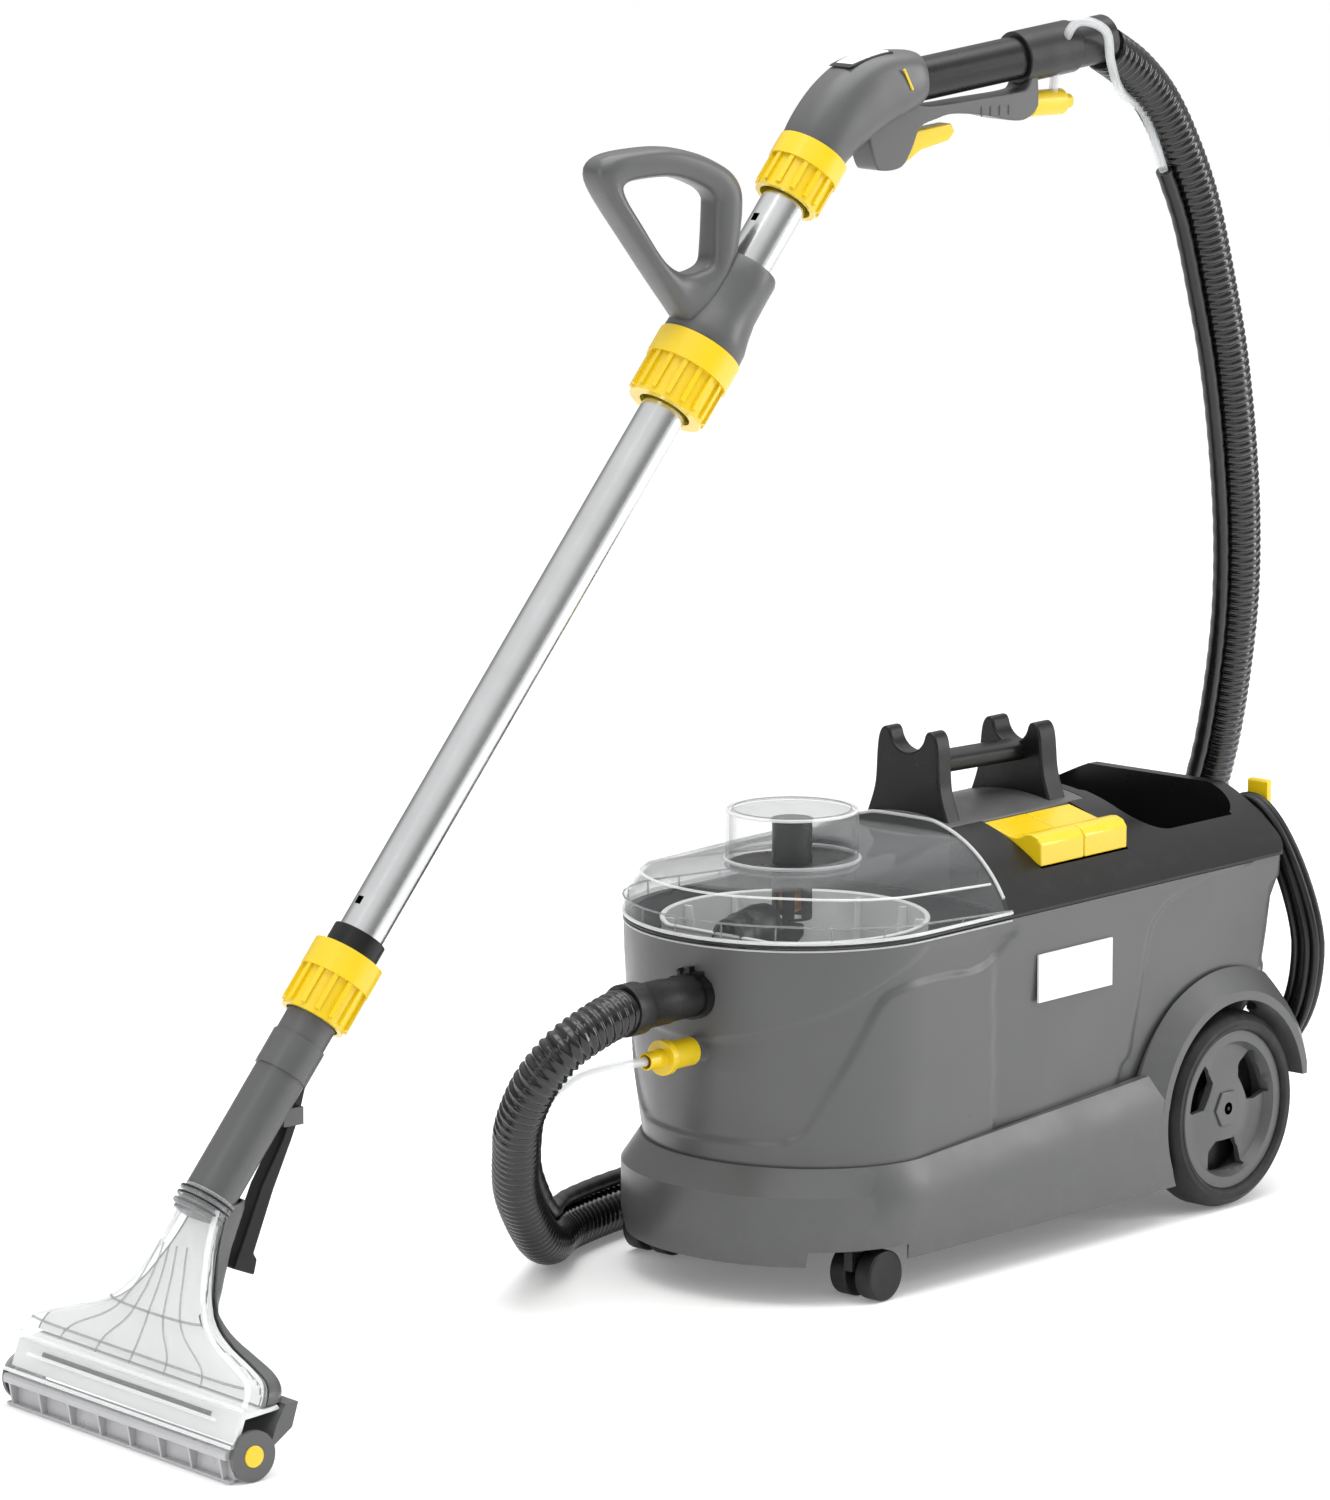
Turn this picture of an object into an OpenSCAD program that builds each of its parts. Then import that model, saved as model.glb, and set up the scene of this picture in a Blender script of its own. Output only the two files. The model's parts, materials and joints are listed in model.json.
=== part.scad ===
// Spot extractor: a wheeled spray-and-suction machine with its floor wand, hoses and mains lead.
// Millimetres. X runs from the nose (-X) to the rear (+X), Z is up, the floor is Z = 0.

/* [Machine body] */
// Radius of the rounded nose at the lid seam
nose_r = 142.7; // [138:0.1:146]
// Half width of the body at the lid seam
body_hw = 145.5; // [143:0.1:148]
// Rear face of the body, measured from the centre of the nose
body_rear = 496; // [494:1:500]
// Height of the seam below the lid and the rear cover
seam_z = 301.5; // [299:0.1:304]
// Wall thickness of the body
body_wall = 3.5; // [3:0.1:4]
// Highest line of the crowned deck
deck_top = 370; // [366:1:372]
// Radius of the crowned deck, in a section across the machine
deck_r = 194; // [190:1:198]

/* [Chassis] */
// Half width of the chassis beside the nose centre
chassis_hw = 148; // [147:0.5:149]
// Length of the chassis in front of the nose centre
chassis_nose = 139; // [137:0.5:141]
// Lower edge of the chassis
chassis_z = 33; // [31:0.5:35]
// Height of the outer edge of the ledge at the nose
ledge_z = 92; // [90:0.5:94]

/* [Running gear] */
// Radius of the rear tyres
tyre_r = 87.1; // [86.5:0.1:87.5]
// Width of the rear tyres
tyre_w = 42; // [38:1:42]
// Centre of the rear axle
axle_x = 409.3; // [408:0.1:411]
// Outer face of the rear tyres
wheel_face = 155.8; // [155:0.1:156]
// Radius of the castor wheels
castor_r = 21.5; // [21:0.1:22]
// Trail of the castor wheels behind their swivel
castor_trail = 15; // [12:1:16]

/* [Lid and tanks] */
// Radius of the clear dome
dome_r = 56; // [54:0.5:57]
// Top of the clear dome
dome_top = 394; // [390:1:396]
// Depth of the dirty water tank
dirty_depth = 150; // [130:1:160]

/* [Wand] */
// Outer diameter of the steel tube
tube_d = 38; // [37:0.1:38.5]
// Lean of the steel tube from the vertical
wand_lean = 38.4; // [37.5:0.1:39.2]
// Distance between the lower and the upper union nut
tube_len = 775.6; // [772:0.1:780]
// Width of the floor nozzle
nozzle_w = 308; // [300:1:310]

/* [Hoses and lead] */
// Outer diameter of the suction hose
hose_d = 40; // [38:1:41]
// Outer diameter of the spray hose
spray_d = 8; // [7:0.5:8]
// Outer diameter of the sleeve that carries the spray hose
sleeve_d = 14; // [13:0.5:14]
// Outer diameter of the mains lead
lead_d = 7.5; // [7:0.1:7.5]

/* [Hidden] */
$fn = 64;
fit = 0.3;          // free gap between pieces that move past each other
centre_x = -135.9;   // middle of the machine and wand along X, moved to the origin
centre_y = 10.4;    // middle of the machine and wand along Y, moved to the origin
grey = "#77787a";
black = "#1c1c1d";
yellow = "#f5d90f";
clear = [0.85, 0.9, 0.92, 0.45];
steel = "#c9cccf";
yaw = -8.89;        // heading of the wand, in plan
arc_r = 320;        // plan radius of the joint between the lid and the rear cover
arc_x = 144;        // rearmost point of that joint
open_front = 340;   // front and rear of the storage opening
open_rear = 480;
open_hw = 109;
well_floor = 215;
corner_r = 15;      // plan radius of the rear corners
castor_x = -58;
castor_y = 116;
hook_y = -90;
hook_z = 312;
hank_x = 499;
hank_w = 18.4;
gland_y = 30;
gland_z = 190;
port_y = -11;
port_z = 258;
spray_z = 211;

// ---------- helpers ----------
function ramp(x, k) = max(0, x) * k;
function crown(y) = deck_top - deck_r + sqrt(deck_r * deck_r - y * y);
function unit(v) = v / norm(v);
// One closed ring of the body outline: elliptical nose, straight sides, rounded rear corners.
function outline(nose, hw, rear, corner, power = 1) = concat(
    [for (a = [90:5:270]) [nose * sign(cos(a)) * pow(abs(cos(a)), power),
                             hw * sign(sin(a)) * pow(abs(sin(a)), power)]],
    [for (x = [rear * 0.2, rear * 0.4, rear * 0.6, rear * 0.8]) [x, -hw]],
    [for (a = [270:15:360]) [rear - corner + corner * cos(a), -hw + corner + corner * sin(a)]],
    [for (a = [0:15:90]) [rear - corner + corner * cos(a), hw - corner + corner * sin(a)]],
    [for (x = [rear * 0.8, rear * 0.6, rear * 0.4, rear * 0.2]) [x, hw]]);
function lift(ring, z, k = 0) = [for (p = ring) [p[0], p[1], z + ramp(p[0], k)]];
function middle(ring) = [for (k = [0:2]) [for (p = ring) p[k]] * [for (p = ring) 1] / len(ring)];

module placed() translate([-centre_x, -centre_y, 0]) children();
module wand() placed() translate([-771, 25, 0]) rotate([0, 0, yaw]) children();
// Frame of the steel tube: Z runs up the tube from the underside of the lower nut.
module on_tube(s = 0) wand() translate([190, 0, 308.2]) rotate([0, wand_lean, 0]) translate([0, 0, s]) children();
module rod_x(r, x0, x1) translate([x0, 0, 0]) rotate([0, 90, 0]) cylinder(r = r, h = x1 - x0);
module rod_y(r, y0, y1, fn = 64) translate([0, y1, 0]) rotate([90, 0, 0]) cylinder(r = r, h = y1 - y0, $fn = fn);
module pipe(ro, ri, h) difference() {
    cylinder(r = ro, h = h);
    translate([0, 0, -1]) cylinder(r = ri, h = h + 2);
}
module both_sides() for (s = [-1, 1]) scale([1, s, 1]) children();

// A closed skin through rings that all have the same number of points.
module skin(rings) {
    n = len(rings[0]);
    m = len(rings);
    points = concat([for (r = rings) each r], [middle(rings[0])], [middle(rings[m - 1])]);
    sides = [for (i = [0:m - 2], j = [0:n - 1]) let (k = (j + 1) % n)
        each [[i * n + j, (i + 1) * n + j, (i + 1) * n + k], [i * n + j, (i + 1) * n + k, i * n + k]]];
    caps = [for (j = [0:n - 1]) let (k = (j + 1) % n)
        each [[n * m, j, k], [n * m + 1, (m - 1) * n + k, (m - 1) * n + j]]];
    polyhedron(points = points, faces = concat(sides, caps));
}

// A tube of the given radius swept along route points, with a ring of fn points at each.
module swept(route, r, fn = 8) {
    last = len(route) - 1;
    dirs = [for (i = [0:last]) unit(route[min(i + 1, last)] - route[max(i - 1, 0)])];
    rings = [for (i = [0:last]) let (u = unit(cross(dirs[i], side_of(dirs[i]))), v = cross(dirs[i], u))
        [for (a = [0:fn - 1]) route[i] + r * (u * cos(a * 360 / fn) + v * sin(a * 360 / fn))]];
    skin(rings);
}
function side_of(d) = unit(cross(d, abs(d[1]) > 0.95 ? [1, 0, 0] : [0, 1, 0]));
// Points of a smooth curve through the route's own points, with the given number of steps each.
function smooth(p, steps) = concat([for (i = [0:len(p) - 2]) let (
        a = p[max(i - 1, 0)], b = p[i], c = p[i + 1], d = p[min(i + 2, len(p) - 1)])
        each [for (k = [0:steps - 1]) let (t = k / steps)
            0.5 * (2 * b + (c - a) * t + (2 * a - 5 * b + 4 * c - d) * t * t
                   + (3 * b - a - 3 * c + d) * t * t * t)]], [p[len(p) - 1]]);

// ---------- body and chassis ----------
// Rings of the outer skin of the body, grown outwards by g.
function body_rings(g, z0) = [
    lift(outline(117 + g, 134 + g, 462 + g, corner_r), z0),
    lift(outline(122 + g, 137 + g, 465 + g, corner_r), 130),
    lift(outline(130 + g, 139 + g, 470 + g, corner_r), 165),
    lift(outline(136 + g, 141 + g, 474 + g, corner_r), 195),
    lift(outline(139.5 + g, 143 + g, 480 + g, corner_r), 232),
    lift(outline(141.8 + g, 145 + g, 485 + g, corner_r), 275),
    lift(outline(141.9 + g, 145.1 + g, body_rear - 1 + g, corner_r), 282),
    lift(outline(nose_r + g, body_hw + g, body_rear + g, corner_r), seam_z)];
function reversed(list) = [for (i = [len(list) - 1:-1:0]) list[i]];

module tank_body() color(grey) placed() difference() {
    skin(concat(body_rings(0, 104), reversed(body_rings(-body_wall, 104 + body_wall))));
    translate([0, port_y, port_z]) rod_x(21, -160, -100);
    translate([0, port_y, spray_z]) rod_x(11.5, -160, -100);
    both_sides() translate([axle_x, 0, tyre_r]) rod_y(99, 108, 160);
    translate([0, gland_y, gland_z]) rod_x(9, 450, 500);
}

// The chassis grows wider from the nose towards the rear wheels.
function widen(ring) = [for (p = ring) [p[0], p[1] * (1 + ramp(min(p[0], 300), 0.0002)), p[2]]];
module chassis() color(grey) placed() difference() {
    union() {
        difference() {
            union() {
                skin([
                    widen(lift(outline(chassis_nose - 3, chassis_hw - 3, 483, 20, 0.95), chassis_z)),
                    widen(lift(outline(chassis_nose, chassis_hw, 486, 20, 0.95), 50)),
                    widen(lift(outline(chassis_nose, chassis_hw, 486, 20, 0.95), ledge_z, 0.07)),
                    widen(lift(outline(122, 137.5, 474, 20), 113.5, 0.07)),
                ]);
                both_sides() mudguard();
            }
            skin([
                lift(outline(chassis_nose - 6, chassis_hw - 6, 285, 20, 0.95), chassis_z - 1),
                lift(outline(chassis_nose - 8, chassis_hw - 8, 285, 20, 0.95), 99),
            ]);
            translate([280, -104, chassis_z - 1]) cube([196, 208, 100 - chassis_z]);
        }
        both_sides() translate([castor_x, castor_y, 46]) cylinder(r = 13, h = 54);
    }
    skin(body_rings(0.3, 103.7));
    both_sides() {
        translate([axle_x, 0, tyre_r]) rod_y(97, 107, 170);
        translate([castor_x, castor_y, 0]) cylinder(r = 46, h = 46.2);
        translate([castor_x, castor_y, 40]) cylinder(r = 4.3, h = 30);
    }
    translate([axle_x, 0, tyre_r]) rod_y(6.1, -108, 108);
}

// Each side of the chassis carries this guard around the upper half of the rear wheel.
module mudguard() difference() {
    translate([axle_x, 0, tyre_r]) {
        rod_y(126, 120, 141);
        translate([0, 141, 0]) rotate([-90, 0, 0]) cylinder(r1 = 126, r2 = 105, h = 16);
    }
    translate([axle_x - 150, 100, -60]) cube([300, 80, 163]);
    translate([60, 90, 0]) cube([240, 80, 105]);
    translate([511, 90, 0]) cube([60, 80, 240]);
    translate([511, 90, 140]) rotate([0, -36, 0]) cube([60, 80, 160]);
}

module crowned(drop = 0) translate([-400, 0, deck_top - deck_r]) rotate([0, 90, 0])
    cylinder(r = deck_r - drop, h = 1000, $fn = 128);
module plan(inset = 0) {
    circle(r = nose_r - inset, $fn = 128);
    translate([0, inset - body_hw]) square([body_rear - corner_r, 2 * (body_hw - inset)]);
    translate([0, inset - body_hw + corner_r]) square([body_rear - inset, 2 * (body_hw - inset - corner_r)]);
    for (s = [-1, 1]) translate([body_rear - corner_r, s * (body_hw - corner_r)]) circle(r = corner_r - inset);
}
module rear_plan(inset = 0) difference() {
    plan(inset);
    translate([arc_x - arc_r, 0]) circle(r = arc_r + 0.4 + inset, $fn = 256);
}
module opening(inset = 0, rear = open_rear) {
    translate([open_front + 34, -open_hw + inset])
        square([rear - open_front - 54 - inset, 2 * (open_hw - inset)]);
    translate([open_front + inset, -open_hw + 34 + inset])
        square([rear - open_front - 2 * inset, 2 * (open_hw - inset) - 68]);
    for (s = [-1, 1]) {
        translate([open_front + 34, s * (open_hw - 34)]) circle(r = 34 - inset);
        translate([rear - 34, s * (open_hw - 34)]) circle(r = 34 - inset);
    }
}

module rear_cover() color(black) placed() difference() {
    union() {
        difference() {
            intersection() {
                translate([0, 0, seam_z + 0.3]) linear_extrude(80) rear_plan();
                crowned();
            }
            difference() {
                intersection() {
                    translate([0, 0, seam_z - 1]) linear_extrude(80) rear_plan(3);
                    crowned(3);
                }
                translate([open_front - 3, -open_hw - 3, seam_z - 5])
                    cube([body_rear - open_front, 2 * open_hw + 6, 100]);
            }
        }
        translate([0, 0, well_floor]) linear_extrude(seam_z + 4 - well_floor) opening(-3, 467);
    }
    translate([0, 0, well_floor + 3]) linear_extrude(200) opening(0, 467);
    translate([0, 0, seam_z + 3]) linear_extrude(100) opening();
    translate([336, -80, 366]) rotate([0, 3.3, 0]) cube([200, 160, 30]);
    translate([arc_x - 60, -52.2, seam_z]) cube([324.4 - arc_x + 60, 104.4, 100]);
    translate([182.8, -118, seam_z]) cube([119.4, 66.4, 100]);
    translate([0, hook_y, hook_z]) rod_x(7, 480, 510);
}

module deck_panel() color(grey) placed() difference() {
    intersection() {
        translate([0, 0, seam_z + 0.3]) linear_extrude(80) difference() {
            translate([90, -52]) square([324 - 90, 104]);
            translate([arc_x - arc_r, 0]) circle(r = arc_r + 0.4, $fn = 256);
        }
        crowned();
    }
    intersection() {
        translate([0, 0, seam_z - 1]) linear_extrude(80) difference() {
            translate([90, -49]) square([321 - 90, 98]);
            translate([arc_x - arc_r, 0]) circle(r = arc_r + 3.4, $fn = 256);
        }
        crowned(3);
    }
}

// One end of the carry handle: a flared foot and two horns.
module tower(x, w, top, base) translate([x, 0, 0]) difference() {
    rotate([90, 0, 90]) translate([0, 0, -w / 2]) linear_extrude(w) polygon([
        [-44, base - 16], [-42, base - 4], [-33, base + 22], [-27, top - 12], [-25, top - 3], [-21, top],
        [21, top], [25, top - 3], [27, top - 12], [33, base + 22], [42, base - 4], [44, base - 16]]);
    translate([-200, 0, deck_top - deck_r]) rotate([0, 90, 0]) cylinder(r = deck_r + 0.3, h = 400, $fn = 128);
}
module carry_handle() color(black) placed() difference() {
    union() {
        tower(153, 15, 437, deck_top);
        tower(296, 20, 422, deck_top - 2);
        translate([155, 0, 408]) rotate([0, 1.5, 0]) {
            for (s = [-1, 1]) translate([0, 9 * s, 0]) rod_x(7.5, 0, 137);
            translate([0, -9, -7.5]) cube([137, 18, 15]);
        }
    }
    translate([100, 0, 444]) rotate([0, 4, 0]) rod_x(tube_d / 2 + 0.1, 0, 300);
}

module badge_plate() color("white") placed() translate([145, -body_hw - 1.5, 223.7]) {
    difference() {
        cube([99.7, 2.2, 41.4]);
        translate([4, -0.5, 15]) cube([91.7, 1, 5]);
    }
}

// ---------- inside the body ----------
module suction_motor() color("silver") placed() translate([215, 0, 0]) {
    difference() {
        translate([0, 0, 215]) cylinder(r = 72, h = 44);
        translate([0, 0, 219]) cylinder(r = 68, h = 36);
        translate([0, 0, 250]) cylinder(r = 22, h = 20);
        translate([0, 0, 205]) cylinder(r = 5, h = 20);
    }
    translate([0, 0, 130]) difference() {
        cylinder(r = 48, h = 85);
        translate([0, 0, 60]) cylinder(r = 5, h = 30);
    }
    translate([0, 0, 107.6]) pipe(40, 34, 22.5);
}
module fan_impeller() color("gainsboro") placed() translate([215, 0, 0]) {
    translate([0, 0, 224]) cylinder(r = 62, h = 3);
    translate([0, 0, 190.5]) cylinder(r = 4.7, h = 34);
    for (a = [0:45:315]) rotate([0, 0, a]) translate([24, -1, 226.5]) cube([36, 2, 18]);
    translate([0, 0, 226.5]) cylinder(r = 14, h = 12);
}
module spray_pump() color("dimgray") placed() translate([350, 60, 0]) {
    translate([0, 0, 107.6]) cube([70, 46, 12]);
    translate([35, 23, 119]) cylinder(r = 22, h = 60);
    translate([35, 23, 178]) cylinder(r = 6, h = 20);
    translate([-18, 23, 150]) rod_x(5, 0, 34);
}

module suction_port() color(black) placed() translate([0, port_y, port_z]) {
    difference() {
        union() {
            rod_x(20.6, -146, -118);
            rod_x(25, -130.8, -126.3);
            for (a = [-60:30:60]) rotate([a, 0, 0]) translate([-148, -1.5, 19]) cube([6, 3, 5]);
        }
        rod_x(18.2, -150, -110);
    }
}
module spray_socket() color(clear) placed() translate([0, port_y, spray_z]) difference() {
    union() {
        rod_x(11.2, -143, -122);
        rod_x(5.6, -160, -140);
    }
    rod_x(3, -165, -110);
}

// ---------- wheels ----------
module rear_axle() color(steel) placed() translate([axle_x, 0, tyre_r]) rod_y(6, -148, 148);

module tyre(s) color(black) placed() translate([axle_x, s * (wheel_face - tyre_w / 2), tyre_r])
    rotate([90, 0, 0]) rotate_extrude($fn = 96) {
        h = tyre_w / 2;
        polygon([[69.6, -h + 3], [72, -h], [79, -h], [84, -h + 4], [tyre_r, -h + 12], [tyre_r, h - 12],
                 [84, h - 4], [79, h], [72, h], [69.6, h - 3]]);
    }
module tyre_near() tyre(-1);
module tyre_far() tyre(1);

module rim(s) color(grey) placed() translate([axle_x, s * wheel_face, tyre_r]) scale([1, s, 1])
    difference() {
        rotate([90, 0, 0]) rotate_extrude($fn = 96)
            polygon([[6.07, 10], [26, 10], [40, 14], [56, 12], [60, 4], [69.4, 4], [69.4, tyre_w - 4], [62, tyre_w - 4],
                     [60, 18], [26, 18], [18, 34], [6.07, 34]]);
        for (a = [30, 150, 270]) rotate([0, a + 60, 0]) translate([44, -8, 0]) rotate([90, 0, 0])
            linear_extrude(24) polygon([[-16, -13], [-6, -21], [10, -24], [12, 0], [10, 24], [-6, 21], [-16, 13]]);
    }
module rim_near() rim(-1);
module rim_far() rim(1);

module castor_fork(s) color(black) placed() translate([castor_x, castor_y * s, 0]) {
    translate([0, 0, 44]) cylinder(r = 4, h = 22);
    translate([0, 0, 43.5]) cylinder(r = 11, h = 2.2);
    difference() {
        union() {
            translate([castor_trail, 0, castor_r]) rod_y(9, -4.5, 4.5);
            translate([-8, -4.5, 26]) cube([26, 9, 19]);
        }
        translate([castor_trail, 0, castor_r]) rod_y(3.15, -10, 10);
    }
}
module castor_fork_near() castor_fork(-1);
module castor_fork_far() castor_fork(1);
module castor_wheels(s) color(black) placed() translate([castor_x + castor_trail, castor_y * s, castor_r]) {
    rod_y(3, -20, 20);
    rod_y(castor_r, -22, -5.2);
    rod_y(castor_r, 5.2, 22);
}
module castor_wheels_near() castor_wheels(-1);
module castor_wheels_far() castor_wheels(1);

// ---------- tank and lid ----------
module dirty_tank() color("white", 0.6) placed() difference() {
    translate([0, 0, seam_z - dirty_depth]) linear_extrude(dirty_depth) intersection() {
        circle(r = 112, $fn = 96);
        translate([-97, -112]) square([224, 224]);
    }
    translate([0, 0, seam_z - dirty_depth + 3]) linear_extrude(dirty_depth) intersection() {
        circle(r = 109, $fn = 96);
        translate([-94, -109]) square([218, 218]);
    }
    translate([0, port_y, port_z]) rod_x(16.5, -100, -90);
}
module inlet_elbow() color(black) placed() translate([0, port_y, port_z]) difference() {
    union() {
        rod_x(19, -117, -97.3);
        rod_x(16.4, -98, -92);
        translate([-93.7, -19, -19]) cube([36, 38, 38]);
    }
    rod_x(13.5, -120, -85);
    translate([-90, -16, -22]) cube([29, 32, 38]);
}
module fluff_filter() color("white") placed() translate([20, 0, 0]) difference() {
    union() {
        translate([0, 0, seam_z - dirty_depth + 3.1]) cylinder(r = 20, h = 46);
        translate([0, 0, 200]) cylinder(r = 44, h = 60);
    }
    translate([0, 0, 203]) cylinder(r = 41, h = 60);
    for (a = [0:30:330]) rotate([0, 0, a]) translate([38, -5, 210]) cube([10, 10, 38]);
}

// Outer form of the lid, drawn in by the wall thickness d: an upright wall, a chamfer that is steep
// at the nose and shallow beside the deck, and a crowned top cut by a slope that falls to the nose.
function nose_share(x) = max(0, min(1, (115 - x) / 230));
function lid_ring(d, in_k, z_k) = [for (p = outline(nose_r - d, body_hw - d, 200, 10))
    let (k = nose_share(p[0]), c = (24.5 - 10.8 * k) * in_k, q = norm([min(p[0], 0), p[1]]))
    [p[0] * (p[0] < 0 ? 1 - c / q : 1), p[1] * (1 - c / q),
     308 + 13 * k + (19.5 + 1.5 * k) * z_k - d * 0.4]];
module lid_form(d = 0, low = 0) intersection() {
    skin([lift(outline(nose_r - d, body_hw - d, 200, 10), low), lid_ring(d, 0, 0), lid_ring(d, 2.4, 2.4)]);
    crowned(d);
    translate([0, 0, 357 - d]) rotate([0, -4.4, 0]) translate([-300, -300, -400]) cube([600, 600, 400]);
    translate([arc_x - arc_r, 0, 0]) cylinder(r = arc_r - d, h = 500, $fn = 256);
}
module lid_shell() color(clear) placed() difference() {
    lid_form(0, seam_z + 3.3);
    lid_form(3, seam_z - 5);
    translate([-4, 0, 300]) cylinder(r = dome_r + 0.2, h = 100);
}
module lid_gasket() color(black) placed() translate([0, 0, seam_z + 0.3]) linear_extrude(2.9) difference() {
    intersection() {
        plan(0.6);
        translate([arc_x - arc_r, 0]) circle(r = arc_r - 0.6, $fn = 256);
    }
    intersection() {
        plan(5);
        translate([arc_x - arc_r, 0]) circle(r = arc_r - 5, $fn = 256);
    }
}
module lid_dome() color(clear) placed() translate([-4, 0, 0]) difference() {
    translate([0, 0, 344]) cylinder(r = dome_r, h = dome_top - 344);
    translate([0, 0, 340]) cylinder(r = dome_r - 3, h = dome_top - 343);
}
module float_cage() color(black) placed() translate([-4, 0, 0]) {
    difference() {
        translate([0, 0, 300]) cylinder(r = 17, h = 85);
        translate([0, 0, 299]) cylinder(r = 14, h = 83);
        for (a = [0:60:300]) rotate([0, 0, a]) translate([10, -3.5, 302]) cube([10, 7, 26]);
    }
    difference() {
        translate([0, 0, 344.5]) cylinder(r = dome_r - 3.2, h = 3);
        translate([0, 0, 340]) cylinder(r = 16, h = 10);
    }
}
module float_ball() color("orange") placed() translate([-4, 0, 318]) sphere(r = 13);

// ---------- switches ----------
module rocker(x0) color(yellow) placed() translate([x0, 0, 0]) rotate([90, 0, 90]) linear_extrude(58.4)
    polygon([[-117, 331], [-117, 350], [-113, 355.5], [-106, 358], [-100, 357.5], [-95, 354.5], [-90, 353],
             [-84, 353.5], [-53, 361.5], [-52, 359], [-54, 352], [-62, 349], [-80, 343.5]]);
module switch_spray() rocker(183.5);
module switch_suction() rocker(242.7);

// ---------- cord hook, gland, lead ----------
module cord_hook() color(yellow) placed() translate([0, hook_y, hook_z]) difference() {
    union() {
        rod_x(6.7, 484, 522);
        translate([521, -11, -9]) cube([7, 22, 54]);
    }
    translate([510, -34, 30]) rotate([28, 0, 0]) cube([20, 20, 50]);
    translate([510, 16, 21]) rotate([-28, 0, 0]) cube([20, 20, 50]);
}
module cord_gland() color(black) placed() translate([0, gland_y, gland_z]) difference() {
    union() {
        rod_x(8.7, 466, 475.4);
        rod_x(12, 475.3, 478.6);
        translate([478.5, 0, 0]) rotate([0, 90, 0]) cylinder(r1 = 8, r2 = 5.2, h = 28);
    }
    rod_x(lead_d / 2 + 0.05, 460, 520);
}
lead_route = [[506, 30, 190], [528, 30, 187], [547, 20, 178], [552, 0, 168], [545, -18, 162], [529, -33, 160]];
module mains_lead() color(black) placed() swept(smooth(lead_route, 4), lead_d / 2, 8);
module hank_outline(a, b, top) polygon([for (t = [0:10:350]) [a * cos(t) * (sin(t) > 0 ? 1 - top * sin(t) : 1),
    b * sin(t)]]);
module mains_hank() color(black) placed() translate([hank_x, hook_y, hook_z]) rotate([0, -4.3, 0])
    translate([0, 0, -86]) rotate([90, 0, 90]) linear_extrude(hank_w) difference() {
        hank_outline(76, 119.5, 0.25);
        hank_outline(48, 93.5, 0.25);
    }
module mains_plug() color(black) placed() translate([0, 2, 250]) {
    rod_x(19, 508, 526);
    rod_x(14, 526, 543);
    for (s = [-1, 1]) translate([0, 9.5 * s, 0]) rod_x(2.4, 543, 562);
}

// ---------- hoses ----------
hose_route = [
    [-229, -11, 258], [-257, -11, 252], [-287, -3, 237], [-302, 11, 214], [-304, 25, 192], [-297, 43, 164],
    [-284, 57, 141], [-258, 81, 101], [-222, 103, 66], [-186, 122, 38], [-146, 146, 23], [-98, 173, 20.5],
    [-10, 191, 20.5], [110, 198, 20.5], [240, 200, 20.5], [360, 199, 20.5], [440, 192, 24], [506, 174, 42],
    [560, 143, 84], [594, 104, 150], [608, 66, 236], [605, 32, 322], [587, 0, 395], [557, -36, 493],
    [528, -60, 574], [493, -81, 656], [456, -98, 740], [420, -110, 812], [386, -119, 878], [352, -125, 928],
    [316, -129, 971], [277, -132, 1001], [238, -133, 1021],
];
module suction_hose() color(black) placed() swept(hose_route, hose_d / 2 - 0.5, 12);
sleeve_gap = (hose_d + sleeve_d) / 2;
function beside(route, gap) = [for (i = [1:len(route) - 2]) let (d = unit(route[i + 1] - route[i - 1]))
    route[i] + gap * unit(cross(d, [0, 1, 0]))];
sleeve_route = beside([for (i = [4:len(hose_route) - 3]) hose_route[i]], sleeve_gap);
module hose_sleeve() color("#101010") placed() swept(sleeve_route, sleeve_d / 2, 8);
spray_machine_route = [[-201, port_y, 211], [-232, -9, 212], [-258, 6, 207], [-272, 24, 190], sleeve_route[0]];
module spray_hose_machine() color(clear) placed() swept(smooth(spray_machine_route, 3), spray_d / 2, 8);
spray_wand_route = [sleeve_route[len(sleeve_route) - 1], [300, -128, 962], [262, -132, 984], [225, -150, 1012],
    [204, -160, 1040], [182, -146, 1046], [176, -132, 1010], [180, -124, 978]];
module spray_hose_wand() color(clear) placed() swept(smooth(spray_wand_route, 3), spray_d / 2, 8);

module machine_cuff() color(black) placed() translate([0, port_y, port_z]) difference() {
    union() {
        rod_x(18, -180, -120);
        rod_x(19, -206, -178);
        translate([-206, 0, 0]) rotate([0, -90, 0]) cylinder(r1 = 19, r2 = 22, h = 6);
        rod_x(22, -229, -212);
    }
    rod_x(15.5, -240, -110);
}
module coupling_sleeve() color(yellow) placed() translate([0, port_y, spray_z]) difference() {
    union() {
        rod_x(12, -176, -145);
        rod_x(15, -182, -175);
        rod_x(7.5, -201, -181.5);
    }
    rod_x(5.9, -240, -140);
}

// ---------- floor nozzle ----------
module along_w(y0, y1) translate([0, y1, 0]) rotate([90, 0, 0]) linear_extrude(y1 - y0) children();
half = nozzle_w / 2;
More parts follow.
